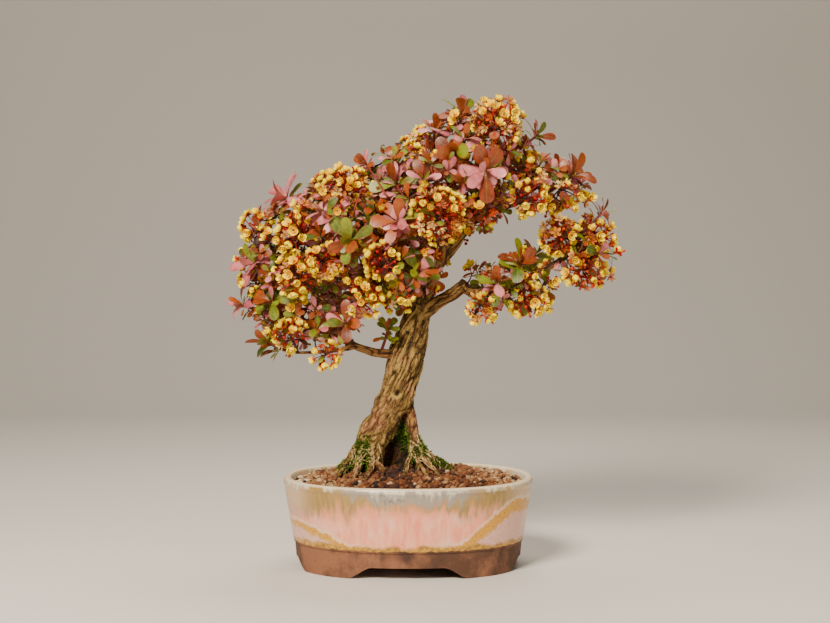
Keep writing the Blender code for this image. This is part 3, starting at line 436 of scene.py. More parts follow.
BOUGHS = {
    "leader": [
        (5, 0, 172, 8.4), (11, -2, 194, 7.0), (19, -6, 211, 6.1), (32, -8, 226, 5.3),
        (42, -7, 240, 4.4), (48, -5, 255, 3.5), (53, 0, 272, 2.7), (57, 2, 287, 2.0),
        (60, 3, 297, 1.4),
    ],
    "right": [
        (6, 0, 172, 7.0), (13, -3, 179, 5.8), (22, -5, 185, 4.8), (31, -8, 190, 4.7),
        (38, -10, 196, 5.6), (44, -11, 191, 3.8), (62, -12, 193, 3.2), (78, -9, 199, 2.8),
        (95, -4, 207, 2.4), (109, 0, 215, 2.0), (121, 2, 221, 1.4),
    ],
    "left_low": [
        (-3, 0, 147, 5.4), (-14, -4, 148, 4.2), (-24, -8, 149.5, 3.8), (-34, -11, 153, 3.3),
        (-44, -13, 158, 2.8), (-58, -13, 164, 2.4), (-76, -10, 169, 1.9), (-92, -8, 175, 1.5),
        (-99, -9, 183, 1.2),
    ],
    "left_mid": [
        (4, 2, 176, 5.4), (-5, 7, 185, 4.6), (-17, 10, 191, 4.0), (-32, 9, 196, 3.2),
        (-51, 5, 202, 2.6), (-71, 0, 209, 2.0), (-88, -3, 216, 1.5), (-95, -6, 222, 1.2),
    ],
    "left_top": [
        (11, -2, 197, 5.0), (0, -5, 209, 4.3), (-14, -8, 219, 3.7), (-30, -10, 229, 3.1),
        (-47, -8, 238, 2.5), (-63, -5, 247, 1.8), (-76, -1, 252, 1.3),
    ],
    "centre_top": [
        (30, -8, 223, 4.0), (21, 1, 237, 3.4), (12, 7, 251, 2.8), (3, 8, 264, 2.2), (-5, 6, 274, 1.5),
    ],
    "right_top": [
        (41, -7, 238, 3.8), (57, -4, 246, 3.2), (72, -4, 252, 2.7), (88, -3, 257, 2.1),
        (101, 0, 262, 1.5),
    ],
    "back_low": [(8, 0, 191, 4.4), (11, 22, 205, 3.4), (10, 42, 219, 2.4), (5, 57, 229, 1.5)],
    "back_high": [(37, -6, 231, 3.8), (39, 18, 243, 3.0), (36, 38, 255, 2.2), (32, 50, 264, 1.4)],
    "front_mid": [(23, -8, 214, 3.8), (25, -24, 225, 2.6), (22, -38, 234, 1.6)],
    "front_low": [(8, 0, 190, 3.8), (6, -16, 198, 2.6), (0, -27, 205, 1.9), (-10, -35, 209, 1.4)],
    "left_low_under": [
        (-35, -11, 154, 2.8), (-50, -21, 152, 2.1), (-66, -27, 151, 1.5), (-78, -28, 151, 1.2),
    ],
    "left_low_up": [
        (-41, -13, 159, 2.8), (-48, -20, 174, 2.1), (-56, -27, 186, 1.5), (-65, -31, 192, 1.2),
    ],
    "left_low_back": [
        (-39, -12, 157, 2.8), (-51, 8, 163, 2.1), (-66, 25, 168, 1.5), (-78, 35, 171, 1.2),
    ],
    "left_mid_front": [(-49, 5, 201, 2.6), (-57, -15, 210, 1.9), (-63, -30, 218, 1.3)],
    "left_mid_back": [(-43, 6, 199, 2.8), (-60, 26, 208, 2.0), (-73, 41, 215, 1.3)],
    "left_top_front": [(-24, -9, 225, 2.8), (-30, -30, 232, 2.0), (-35, -45, 238, 1.3)],
    "left_top_back": [(-23, -9, 225, 2.8), (-33, 20, 237, 2.0), (-43, 38, 248, 1.3)],
    "left_top_up": [(-42, -8, 235, 2.4), (-42, -2, 246, 1.7), (-40, 2, 254, 1.3)],
    "centre_up": [(5, 8, 259, 2.4), (15, -1, 275, 1.8), (20, -7, 286, 1.3)],
    "centre_front": [(13, 6, 248, 2.8), (8, -20, 250, 2.0), (3, -36, 249, 1.3)],
    "centre_back": [(12, 8, 251, 2.8), (0, 30, 260, 2.0), (-9, 46, 265, 1.3)],
    "apex_left": [(51, -2, 266, 2.4), (41, -7, 281, 1.8), (33, -9, 293, 1.3)],
    "apex_right": [(55, 1, 279, 2.0), (67, -3, 287, 1.6), (75, -5, 292, 1.3)],
    "apex_front": [(55, 1, 283, 2.0), (58, -20, 288, 1.6), (58, -30, 291, 1.3)],
    "apex_back": [(54, 1, 278, 2.2), (52, 22, 290, 1.6), (50, 34, 297, 1.3)],
    "right_top_front": [(71, -4, 251, 2.4), (74, -18, 254, 1.5)],
    "right_top_back": [(66, -4, 249, 2.4), (78, 16, 256, 1.8), (86, 27, 260, 1.3)],
    "right_inner_front": [(61, -12, 194, 3.0), (65, -22, 190, 1.6)],
    "right_inner_back": [(67, -11, 196, 2.8), (76, 9, 201, 1.9), (81, 20, 204, 1.3)],
    "right_outer_up": [(107, 0, 213, 2.0), (112, -8, 224, 1.6), (118, -12, 232, 1.3)],
    "right_outer_back": [(111, 0, 216, 2.0), (116, 9, 220, 1.4)],
}


def rounded_route(stations, steps):
    """A Catmull-Rom curve through stations of x, y, z and radius."""
    rows = np.asarray(stations, float)
    ends = np.vstack([2 * rows[0] - rows[1], rows, 2 * rows[-1] - rows[-2]])
    made = []
    for k in range(1, len(ends) - 2):
        a, b, c, d = ends[k - 1:k + 3]
        for t in np.arange(steps) / steps:
            made.append(0.5 * (2 * b + (c - a) * t + (2 * a - 5 * b + 4 * c - d) * t ** 2
                               + (3 * b - a - 3 * c + d) * t ** 3))
    made.append(rows[-1])
    return np.array(made)


limbs = [TRUNK, *LEGS.values(), *ROOTS, *BOUGHS.values()]
print(len(limbs), "limbs")

# %% [markdown]
# ## Bark
#
# Old barberry bark is tan and corky. It stands in long plaited ridges with dark furrows between
# them, and breaks into short plates on the legs. Ridges that run along each limb can't come from
# one flat pattern, so every point of the wood is first given its limb's own measures: how far
# along the limb it lies and where round it. A voxel remesh of the solid melts the crotches together,
# and the ridges are then pushed out of it as real relief.

# %% The wood, remeshed
WOOD_VOXEL, SMOOTH_ROUNDS = 0.65, 5

wood_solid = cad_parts["tree_wood"]
soft_wood = bpy.data.objects.new("soft_wood", wood_solid.data.copy())
bpy.context.scene.collection.objects.link(soft_wood)
remesh = soft_wood.modifiers.new("melt", "REMESH")
remesh.mode = "VOXEL"
remesh.voxel_size = WOOD_VOXEL * MM
smoothing = soft_wood.modifiers.new("smooth", "SMOOTH")
smoothing.factor = 0.5
smoothing.iterations = SMOOTH_ROUNDS
melted = baked(soft_wood)
bpy.data.objects.remove(soft_wood)
melted.calc_loop_triangles()
wood_points = np.empty(len(melted.vertices) * 3)
melted.vertices.foreach_get("co", wood_points)
wood_points = (wood_points.reshape(-1, 3) - np.array(POT_MIDDLE)) / MM
wood_normals = np.array([v.normal for v in melted.vertices])
wood_faces = np.empty(len(melted.loop_triangles) * 3, np.int32)
melted.loop_triangles.foreach_get("vertices", wood_faces)
wood_faces = wood_faces.reshape(-1, 3)
print("wood of", len(wood_points), "points and", len(wood_faces), "triangles")

# %% Each point's place along and round its limb


def limb_measures(points):
    """Where each point lies: its offset from its limb's middle line in the limb's own two directions,
    how far along the limb it is, and the limb's radius there."""
    best = np.full(len(points), 1e9)
    measures = np.zeros((len(points), 4))
    for number, limb in enumerate(limbs):
        route = rounded_route(limb, 3)
        middle, radius = route[:, :3], route[:, 3]
        side = np.array([0.0, 1.0, 0.0])
        run = 40.0 * number
        for k in range(len(route) - 1):
            step = middle[k + 1] - middle[k]
            length = np.linalg.norm(step)
            way = step / length
            side = unit(side - way * np.dot(side, way))
            over = np.cross(way, side)
            offset = points - middle[k]
            t = np.clip(offset @ way, 0, length)
            offset = offset - t[:, None] * way
            reach = radius[k] + (radius[k + 1] - radius[k]) * t / length
            share = np.linalg.norm(offset, axis=1) / reach
            near = share < best
            best[near] = share[near]
            found = np.stack([offset @ side, offset @ over, run + t, reach], axis=1)
            measures[near] = found[near]
            run += length
    return measures


measures = limb_measures(wood_points)
print("radii from", round(measures[:, 3].min(), 1), "to", round(measures[:, 3].max(), 1), "mm")

# %% Ridges and furrows
RIDGE_WIDE, RIDGE_LONG = 2.9, 20.0
PLATE_WIDE, PLATE_LONG = 4.2, 5.5
KNOT_AT, KNOT_RIM = np.array([-7.7, -11.6, 121.6]), 3.0
SCAR_AT = np.array([-16.0, -12.5, 99.4])


def bell(distance, width):
    """1 at distance 0, and close to 0 beyond twice the width."""
    return np.exp(-((distance / width) ** 2))


def plates(x, y, s, wide, long):
    """Rounded plates near 1, parted by thin furrows near -1.3 wherever the noise changes sign."""
    warp = 0.8 * noise.noise(Vector((x / 8, y / 8, s / 12 + 7)))
    lobe = abs(noise.noise(Vector((x / wide + warp, y / wide - warp, s / long))))
    flake = noise.noise(Vector((x / 1.2 + 30, y / 1.2, s / 4.0)))
    return min(1.0, -1.3 + 3.7 * min(lobe, 0.5) ** 0.46) + 0.45 * flake


# The ridges lean round the limb as they climb, and give way to short plates on the legs
turn = -0.022 * measures[:, 2]
grain_way = np.stack([measures[:, 0] * np.cos(turn) - measures[:, 1] * np.sin(turn),
                      measures[:, 0] * np.sin(turn) + measures[:, 1] * np.cos(turn), measures[:, 2]], axis=1)
height = wood_points[:, 2]
long_part = np.clip((height - 104) / 18, 0, 1)
long_ridges = np.array([plates(*row, RIDGE_WIDE, RIDGE_LONG) for row in grain_way.tolist()])
short_plates = np.array([plates(*row, PLATE_WIDE, PLATE_LONG) for row in wood_points.tolist()])
relief = np.clip(long_part * long_ridges + (1 - long_part) * 0.8 * short_plates, -1.5, 1.3)
knot = np.linalg.norm((wood_points - KNOT_AT) * (1.0, 0.5, 0.9), axis=1)
scar = bell(np.linalg.norm((wood_points - SCAR_AT) / (5.5, 6.0, 8.0), axis=1), 1.0)
relief = relief * (1 - 0.8 * scar) * (1 - 0.9 * bell(knot, 5.5))
push = 0.085 * np.clip(measures[:, 3], 1.0, 10.5) * (relief - 0.2)
lumps = [noise.noise(Vector(row) / 7.5) for row in wood_points.tolist()]
push += np.array(lumps) * np.clip((128 - height) / 16, 0, 1) * np.clip(measures[:, 3] / 9, 0.1, 1) * 2.2
# The knot's rim is thickest below its hole
below_knot = np.clip((KNOT_AT[2] + 1.0 - height) / 3.0, 0.15, 1.0)
push += 1.2 * below_knot * bell(knot - KNOT_RIM, 1.1) - 3.4 * bell(knot, 1.7)
relief += 1.9 * below_knot * bell(knot - KNOT_RIM, 1.4) - 3.2 * bell(knot, 1.6) + 0.4 * scar
bark_points = wood_points + wood_normals * push[:, None]
print("relief from", round(push.min(), 2), "to", round(push.max(), 2), "mm")

# %% [markdown]
# ## The bark's colours
#
# Cork weathers pale on the crests and stays dark where air and light don't reach. The relief that
# shaped the mesh is kept as a number on its points, so colour and form agree. Thin cracks, too fine
# for the mesh, follow each limb. Young wood in the crown has the same cracks in a darker red-brown.
# Moss is only a tint here: its tufts come later as real spikes.

# %% Bark material
bark, tree, shader = new_finish("corky_barberry_bark", Roughness=0.88, IOR=1.45)
# The along mark holds the crests, and also the painted shade at the back of the arch
crest_and_shade, age, moss_mark = (mark_of(tree, mark) for mark in ("along", "tone", "edge"))
limb = mark_of(tree, "grain", "Vector")
# Flecks of about 1.2 mm and stains of about 18 mm
fleck = noise_of(tree, 1000 / 850, 5.0, 0.65)
stain = noise_of(tree, 1000 / 55, 4.0)
# Fibres 1 mm wide and 7 mm long follow the limb
fibre = noise_of(tree, 1 / 1.1, 4.0, 0.6, (1, 1, 0.13), limb)
# Dark cracks 2 to 3 mm apart run where a long noise crosses its middle
crossing = noise_of(tree, 1 / 0.42, 2.0, 0.5, (1, 1, 0.24), limb)
crack = band(tree, math_of(tree, "ABSOLUTE", math_of(tree, "SUBTRACT", crossing, 0.5)), 0.0, 0.035,
             -0.34, 0.04, "LINEAR")
grainy = math_of(tree, "MULTIPLY_ADD", fleck, 0.45, math_of(tree, "MULTIPLY_ADD", fibre, 0.9, crest_and_shade))
level = math_of(tree, "ADD", grainy, crack)
bright = band(tree, level, 0.55, 1.55, step="LINEAR")
old = ramp_of(tree, bright, [(0.0, "#0F0905"), (0.24, "#241606"), (0.50, "#48300F"), (0.78, "#735823"),
                             (1.0, "#A08346")])
red = ramp_of(tree, bright, [(0.0, "#140904"), (0.30, "#46230D"), (0.64, "#724624"), (1.0, "#A97E52")])
mixed = blend_of(tree, band(tree, stain, 0.50, 0.66, step="LINEAR"), old, red)
young = ramp_of(tree, band(tree, level, 0.65, 1.55, step="LINEAR"),
                [(0.0, "#100704"), (0.45, "#36190C"), (0.78, "#6E4420"), (1.0, "#9A7038")])
wooden = blend_of(tree, age, young, mixed)
moss_part = band(tree, math_of(tree, "MULTIPLY_ADD", fleck, 0.8, moss_mark), 0.72, 1.0, step="LINEAR")
moss_tint = ramp_of(tree, fleck, [(0.3, "#0A1405"), (0.55, "#20360A"), (0.8, "#4E6818")])
skin = math_of(tree, "MULTIPLY_ADD", crack, 0.9, math_of(tree, "MULTIPLY_ADD", fleck, 0.4, fibre))
paint(shader, blend_of(tree, moss_part, wooden, moss_tint), skin, 0.8, 0.0012)
print("bark with", len(tree.nodes), "nodes")

# %% The wood with its bark
WOOD_SHARE = 0.52
MOSS_SPOTS = [((-31.0, -10.0, 77.0), (7.5, 9.0, 14.0)), ((-3.0, 2.0, 91.0), (7.0, 8.0, 10.0)),
              ((7.0, -6.0, 79.0), (9.0, 8.0, 10.0)), ((20.0, -9.0, 71.0), (10.0, 7.0, 6.0)),
              ((-40.0, -8.0, 68.0), (9.0, 9.0, 6.0)), ((-12.0, 24.0, 78.0), (12.0, 10.0, 12.0))]
# The wall at the back of the arch, darkened as painted shade
ARCH_SHADE_AT, ARCH_SHADE_SIZE = (-2.0, 4.0, 80.0), (12.0, 9.0, 24.0)


def mossiness(points):
    """Near 1 in the middle of a mossy spot, 0 away from all of them."""
    best = np.zeros(len(points))
    for middle, size in MOSS_SPOTS:
        far = np.linalg.norm((points - np.array(middle)) / np.array(size), axis=1)
        best = np.maximum(best, np.clip(1.25 - far, 0, 1))
    return best


hollow = np.linalg.norm((bark_points - np.array(ARCH_SHADE_AT)) / np.array(ARCH_SHADE_SIZE), axis=1)
# Painted shade: the crest mark falls towards 0 at the back of the arch, so the bark there is painted dark
crests_and_arch_shade = np.clip(0.5 + 0.36 * relief, 0, 1) * (1 - 0.85 * np.exp(-(hollow ** 4)))
# On the wood the marks mean other things: along is the crests, darkened at the back of the arch as painted
# shade, edge the moss, tone the thick old wood
thickness = np.clip(np.maximum((measures[:, 3] - 4.0) / 3.0, (104 - height) / 8), 0, 1)
wood_shape = Shape(bark_points, wood_faces, crests_and_arch_shade, mossiness(bark_points), tone=thickness)
wood = new_piece("bark_and_boughs", wood_shape, [bark], replaces=["tree_wood"])
kept = wood.data.attributes.new("grain", "FLOAT_VECTOR", "POINT")
kept.data.foreach_set("vector", grain_way.astype(np.float32).ravel())
thin = wood.modifiers.new("thin", "DECIMATE")
thin.ratio = WOOD_SHARE
thinned = baked(wood)
wood.modifiers.clear()
wood.data = thinned
counts[-1] = len(thinned.polygons)
bark_tree = BVHTree.FromPolygons(bark_points.tolist(), wood_faces.tolist())
print("wood piece of", counts[-1], "triangles, thinned where it is even")

# %% [markdown]
# ## The pot
#
# The pot is a squared oval on four feet, thrown a little unevenly by hand. The same profile as in the
# solid is drawn as a smooth curve with four times as many sides. Four ogee arches and two drain
# holes are cut from it.

# %% Pot shape
POT_WIDTH, POT_DEPTH, SQUARENESS = 174.0, 132.0, 2.2
OUTSIDE = [(9.2, 0.0), (7.6, 18.5), (6.7, 19.6), (3.4, 39.0), (0.9, 56.0), (0.0, 59.6), (0.9, 62.3),
           (2.6, 63.0), (4.8, 62.6)]
INSIDE = [(6.0, 60.5), (9.5, 36.0), (13.5, 18.5), (20.0, 15.0)]
UNDERSIDE = [(20.0, 9.0), (17.4, 0.0)]
POT_SIDES, ARCH_HIGH = 144, 8.2


def plain_solid(name, points, faces):
    """An object from points in millimetres and faces of any count."""
    mesh = bpy.data.meshes.new(name)
    mesh.from_pydata([tuple(POT_MIDDLE + Vector(p) * MM) for p in points], [], faces)
    made = bpy.data.objects.new(name, mesh)
    bpy.context.scene.collection.objects.link(made)
    return made


def stacked(rings):
    """Points and faces of a closed solid from equal rings."""
    count = len(rings[0])
    faces = []
    for r in range(len(rings) - 1):
        for i in range(count):
            j = (i + 1) % count
            faces.append((r * count + i, r * count + j, (r + 1) * count + j, (r + 1) * count + i))
    last = (len(rings) - 1) * count
    faces += [tuple(reversed(range(count))), tuple(range(last, last + count))]
    return [p for ring in rings for p in ring], faces


def outward(made):
    """Turns the faces of a closed solid outwards."""
    corners = [[made.data.vertices[k].co for k in face.vertices] for face in made.data.polygons]
    volume = sum(c[0].dot(c[k].cross(c[k + 1])) for c in corners for k in range(1, len(c) - 1))
    if volume < 0:
        made.data.flip_normals()
    return made


def pot_oval(inset, level):
    ring = []
    for i in range(POT_SIDES):
        turn = 2 * math.pi * (i + 0.5) / POT_SIDES
        c, s = math.cos(turn), math.sin(turn)
        uneven = 0.35 * noise.noise(Vector((1.4 * c, 1.4 * s, level / 30)))
        x = math.copysign(abs(c) ** (2 / SQUARENESS), c) * (POT_WIDTH / 2 - inset - uneven)
        y = math.copysign(abs(s) ** (2 / SQUARENESS), s) * (POT_DEPTH / 2 - inset - uneven)
        ring.append((x, y, level))
    return ring


def arch_bar(half_top, half_foot, along_x):
    """A bar with the outline of the arch between two feet."""
    steps = np.linspace(0, 1, 17)
    half = [(half_foot + 1.0, -2.0)]
    half += [(half_foot + (half_top - half_foot) * t, ARCH_HIGH * t * t * (3 - 2 * t) - 0.01) for t in steps]
    outline = half + [(-across, up) for across, up in reversed(half)]
    rings = [[(end, across, up) if along_x else (across, end, up) for across, up in outline]
             for end in (-POT_WIDTH, POT_WIDTH)]
    return outward(plain_solid("arch_bar", *stacked(rings)))


def drain_bar(x):
    turns = [2 * math.pi * i / 40 for i in range(40)]
    rings = [[(x + 7 * math.cos(turn), 7 * math.sin(turn), z) for turn in turns] for z in (2.0, 30.0)]
    return outward(plain_solid("drain_bar", *stacked(rings)))


profile = [tuple(row) for row in rounded_route(OUTSIDE, 5)]
inner = [tuple(row) for row in rounded_route(INSIDE, 3)]
pot = outward(plain_solid("glazed_pot", *stacked([pot_oval(*row) for row in inner[::-1] + profile[::-1]
                                                  + UNDERSIDE[::-1]])))
bars = [arch_bar(24.0, 42.0, False), arch_bar(14.0, 29.0, True), drain_bar(-34.0), drain_bar(34.0)]
for bar in bars:
    cut = pot.modifiers.new("cut", "BOOLEAN")
    cut.object = bar
    cut.operation = "DIFFERENCE"
    cut.solver = "EXACT"
cut_mesh = baked(pot)
pot.modifiers.clear()
pot.data = cut_mesh
for bar in bars:
    bpy.data.objects.remove(bar)
cut_mesh.shade_smooth()
cut_mesh.set_sharp_from_angle(angle=math.radians(38))
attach(pot, "root")
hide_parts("pot")
print("pot of", len(cut_mesh.polygons), "faces")

# %% [markdown]
# ## The glaze
#
# The glaze was poured in layers that ran down in the kiln: a pale rim, olive and grey-blue runs under
# it, then salmon pink with ochre swags that rise towards both ends. Streaks are noise stretched down
# the wall. Where the glaze ends, 20 mm above the table, the bare brown clay of the foot shows.

# %% Glaze material
glaze, tree, shader = new_finish("run_glaze_on_stoneware", IOR=1.5)
apart = add_node(tree, "SeparateXYZ", {"Vector": add_node(tree, "TexCoord").outputs["Object"]}).outputs
streak = noise_of(tree, 3.0, 4.0, 0.6, (1, 1, 0.12))
broad = noise_of(tree, 15.0, 4.0, 0.6, (1, 1, 0.5))
cloud = noise_of(tree, 24.0, 4.0, 0.6)
speck = noise_of(tree, 0.9, 2.0, 0.7)
crumb = noise_of(tree, 2.2, 3.0, 0.6)
level = math_of(tree, "MULTIPLY", apart["Z"], 1000.0)
side = math_of(tree, "MULTIPLY", math_of(tree, "SUBTRACT", apart["X"], POT_MIDDLE.x), 1000.0)
across = math_of(tree, "ABSOLUTE", side)


def wavy(start, noise_socket, reach):
    """A height that wanders up and down by reach millimetres with a noise."""
    return math_of(tree, "ADD", start, band(tree, noise_socket, 0.3, 0.7, -reach, reach))


ragged = math_of(tree, "ADD", level, wavy(band(tree, streak, 0.3, 0.7, -3.0, 3.0), broad, 5.0))
# The olive runs below the rim, grey-blue where they start in the middle
run_end = band(tree, across, 10.0, 40.0, 48.5, 43.5)
run_part = math_of(tree, "MULTIPLY", band(tree, math_of(tree, "SUBTRACT", ragged, run_end), -7.0, 8.0), 0.9)
olive = blend_of(tree, band(tree, streak, 0.3, 0.7), "#A68A3C", "#7E7034")
blue_part = math_of(tree, "MULTIPLY", band(tree, ragged, 50.0, 56.0),
                    band(tree, across, 34.0, 56.0, 1.0, 0.0))
# Ochre swags that rise to both ends, each under a pale line
swag = math_of(tree, "ADD", band(tree, side, -25.0, -85.0, 20.0, 35.5),
               band(tree, side, 25.0, 78.0, 0.0, 29.0))
over = wavy(math_of(tree, "SUBTRACT", wavy(level, broad, 2.0), swag), streak, 0.8)
thick = band(tree, side, -10.0, 30.0, -3.5, -7.0)
aside = band(tree, across, 8.0, 24.0)
low_pink = blend_of(tree, band(tree, speck, 0.56, 0.66, 0.0, 0.7), "#E2B3A2", "#8A6C4C")
ochre = blend_of(tree, band(tree, speck, 0.52, 0.64, 0.0, 0.7), "#D89E30", "#84621F")
swag_part = band(tree, math_of(tree, "SUBTRACT", over, thick), -1.5, 1.5)
pale_line = math_of(tree, "MULTIPLY", math_of(tree, "MULTIPLY", band(tree, over, 5.0, 2.5), aside),
                    band(tree, over, 0.5, 2.0, 0.0, 0.6))
# A short dark crack under the rim, broken by crumbs
crack_up = math_of(tree, "ABSOLUTE", math_of(tree, "SUBTRACT", ragged, 57.0))
crack_along = math_of(tree, "ABSOLUTE", math_of(tree, "ADD", side, 12.0))
crack = math_of(tree, "MULTIPLY", band(tree, crack_up, 1.0, 0.3), band(tree, crack_along, 12.0, 7.0))
crack = math_of(tree, "MULTIPLY", crack, band(tree, crumb, 0.46, 0.56))
# Salmon pink, milky in clouds and lilac at the ends, and then each later coat: where it lies, its colour
body = blend_of(tree, band(tree, streak, 0.25, 0.75), "#F28E70", "#FFB494")
for part, colour in [
    (band(tree, cloud, 0.46, 0.68, 0.0, 0.5), "#EECFBC"),
    (band(tree, across, 50.0, 80.0, 0.0, 0.65), "#D9A39E"),
    (run_part, blend_of(tree, blue_part, olive, "#8C9086")),
    (math_of(tree, "MULTIPLY", run_part, band(tree, across, 62.0, 80.0)), "#D2B08C"),
    (band(tree, ragged, 58.5, 64.0), blend_of(tree, band(tree, crumb, 0.40, 0.62), "#ACAEA2", "#E0D6BA")),
    (band(tree, level, 61.2, 62.6, 0.0, 0.8), "#F2DDBA"),
    (pale_line, "#EBD3B2"),
    (math_of(tree, "MULTIPLY", band(tree, over, 2.0, 0.5), aside),
     blend_of(tree, swag_part, low_pink, ochre)),
    (band(tree, wavy(level, broad, 1.6), 21.6, 24.4, 1.0, 0.0),
     blend_of(tree, band(tree, crumb, 0.4, 0.6), "#CC9836", "#98722C")),
    (band(tree, speck, 0.68, 0.74, 0.0, 0.6), "#6A5440"),
    (math_of(tree, "MULTIPLY", crack, 0.8), "#3E3A36"),
]:
    body = blend_of(tree, part, body, colour)
clay = blend_of(tree, band(tree, cloud, 0.38, 0.60), "#8C5C40", "#563826")
clay = blend_of(tree, band(tree, broad, 0.50, 0.66, 0.0, 0.7), clay, "#3C2620")
clay = blend_of(tree, band(tree, speck, 0.55, 0.72, 0.0, 0.6), clay, "#3B2A26")
bare = band(tree, wavy(level, streak, 0.5), 19.5, 20.1, 1.0, 0.0)
ripple = math_of(tree, "MULTIPLY_ADD", speck, 0.25, streak)
paint(shader, blend_of(tree, bare, body, clay), ripple, 0.35, 0.0005)
sheen = band(tree, cloud, 0.3, 0.7, 0.24, 0.38)
feed(shader, {"Roughness": math_of(tree, "MULTIPLY_ADD", bare, 0.42, sheen)})
pot.data.materials.clear()
pot.data.materials.append(glaze)
print("glaze with", len(tree.nodes), "nodes")

# %% [markdown]
# ## The soil
#
# Bonsai soil is loose baked clay and pumice, sieved to grains of about 3 mm. The solid of the soil
# stays underneath as the bed. Each grain is a crooked stone of its own that lies on the bed, and its
# tone picks red clay, pale pumice or a rare dark chip. Red clay lies in the middle, pale pumice at the
# ends.

# %% Soil materials
grit, tree, shader = new_finish("baked_clay_grit", Roughness=0.9, IOR=1.5)
dust = noise_of(tree, 0.9, 4.0, 0.7)
shade = ramp_of(tree, mark_of(tree, "tone"), [(0.0, "#0F0C0A"), (0.10, "#25130B"), (0.30, "#4E2611"),
                                              (0.50, "#7A441E"), (0.66, "#8E6138"), (0.84, "#B3936A"),
                                              (1.0, "#D9C8A8")])
paint(shader, blend_of(tree, band(tree, dust, 0.35, 0.7, 0.0, 0.35), shade, "#3C2518"), dust, 0.6, 0.0004)

bed, tree, shader = new_finish("damp_soil_bed", Roughness=0.95, IOR=1.4)
crumb = noise_of(tree, 2.2, 4.0, 0.7)
paint(shader, ramp_of(tree, crumb, [(0.3, "#120A06"), (0.5, "#361C0E"), (0.7, "#643A1E")]), crumb, 0.8, 0.001)

netting, tree, shader = new_finish("black_plastic_netting", Roughness=0.5, IOR=1.46)
scuff = noise_of(tree, 1.5, 3.0, 0.6)
paint(shader, blend_of(tree, band(tree, scuff, 0.4, 0.7), "#17181A", "#3A3733"))
for name, finish in (("soil", bed), ("net_left", netting), ("net_right", netting)):
    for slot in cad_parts[name].material_slots:
        slot.material = finish
print("three finishes for what fills the pot")

# %% Grains
GRAIN_SPACING, GRAIN_SIZE = 3.0, (0.9, 2.0)
# Rows lie closer than grains in a row, clear of the wall, and some grains are of another kind
ROW_SHARE, WALL, ODD_SHARE = 0.87, 8.6, 0.14


def tree_of(node):
    """A search tree of a solid, in millimetres from the pot's middle."""
    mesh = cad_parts[node].data
    points = [(v.co - POT_MIDDLE) / MM for v in mesh.vertices]
    return BVHTree.FromPolygons(points, [tuple(face.vertices) for face in mesh.polygons])


def stone(seed, squash=0.8):
    """A crooked grain of radius 1."""
    rng = random.Random(seed)
    golden = (1 + 5 ** 0.5) / 2
    corners = [(s, t * golden, 0) for s in (-1, 1) for t in (-1, 1)]
    corners = corners + [(0, a, b) for a, b, _ in corners] + [(b, 0, a) for a, b, _ in corners]
    points = np.array([unit(np.array(c, float)) for c in corners])
    faces = []
    for i in range(12):
        for j in range(i + 1, 12):
            for k in range(j + 1, 12):
                a, b, c = points[[i, j, k]]
                if max(np.linalg.norm(a - b), np.linalg.norm(b - c), np.linalg.norm(a - c)) < 1.1:
                    faces.append((i, j, k) if np.dot(np.cross(b - a, c - a), a) > 0 else (i, k, j))
    middles, split = {}, []
    points = points.tolist()
    for a, b, c in faces:
        mids = []
        for pair in ((a, b), (b, c), (c, a)):
            key = tuple(sorted(pair))
            if key not in middles:
                middles[key] = len(points)
                points.append(unit((np.array(points[pair[0]]) + np.array(points[pair[1]])) / 2).tolist())
            mids.append(middles[key])
        split += [(a, mids[0], mids[2]), (b, mids[1], mids[0]), (c, mids[2], mids[1]), tuple(mids)]
    shift = Vector((rng.uniform(0, 99), rng.uniform(0, 99), rng.uniform(0, 99)))
    lumpy = []
    for p in points:
        swell = 1 + 0.42 * noise.noise(Vector(p) * 1.1 + shift)
        lumpy.append(np.array(p) * swell * (1, rng.uniform(0.9, 1.1), squash))
    return Shape(lumpy, split)


STONES = [stone(seed) for seed in range(9)]
soil_tree = tree_of("soil")
rng = random.Random(21)
grains = []
rows = int(POT_DEPTH / GRAIN_SPACING / 2 / ROW_SHARE)
columns = int(POT_WIDTH / GRAIN_SPACING / 2)
for row in range(-rows, rows + 1):
    for column in range(-columns, columns + 1):
        x = (column + 0.5 * (row % 2)) * GRAIN_SPACING + rng.uniform(-0.9, 0.9)
        y = row * GRAIN_SPACING * ROW_SHARE + rng.uniform(-0.9, 0.9)
        if abs(x / (POT_WIDTH / 2 - WALL)) ** 2.2 + abs(y / (POT_DEPTH / 2 - WALL)) ** 2.2 > 1:
            continue
        ground = soil_tree.ray_cast(Vector((x, y, 90)), Vector((0, 0, -1)))[0]
        if ground is None or ground.z < 50:
            continue
        size = rng.uniform(*GRAIN_SIZE)
        middle = Vector((x, y, ground.z + 0.35 * size))
        nearest = bark_tree.find_nearest(middle)[3]
        if nearest is not None and nearest < 0.5 * size:
            continue
        pale = 0.5 * noise.noise(Vector((x / 26, y / 26, 3))) + (abs(x - 2) / 90) ** 1.2
        tone = min(1.0, max(0.0, 0.28 + 0.62 * pale + rng.gauss(0, 0.13)))
        if rng.random() < ODD_SHARE:
            tone = rng.choice((rng.uniform(0.6, 0.95), rng.uniform(0, 0.2)))
        way = (rng.uniform(-0.4, 0.4), rng.uniform(-0.4, 0.4), 1)
        axes = axes_along(np.cross(way, (math.cos(7 * x), math.sin(7 * x), 0)), way)
        grains.append(rng.choice(STONES).moved(axes, middle, size, tone))
new_piece("soil_grains", joined(grains), [grit], smooth=False)
print(len(grains), "grains of", counts[-1], "triangles")

# %% [markdown]
# ## Moss and fine roots
#
# Moss grows where water stays: on the legs, inside the hollow and at the soil. It is made of short
# spikes that stand on the bark's own faces, so it follows every ridge. Thin pale roots creep over
# it into the soil.

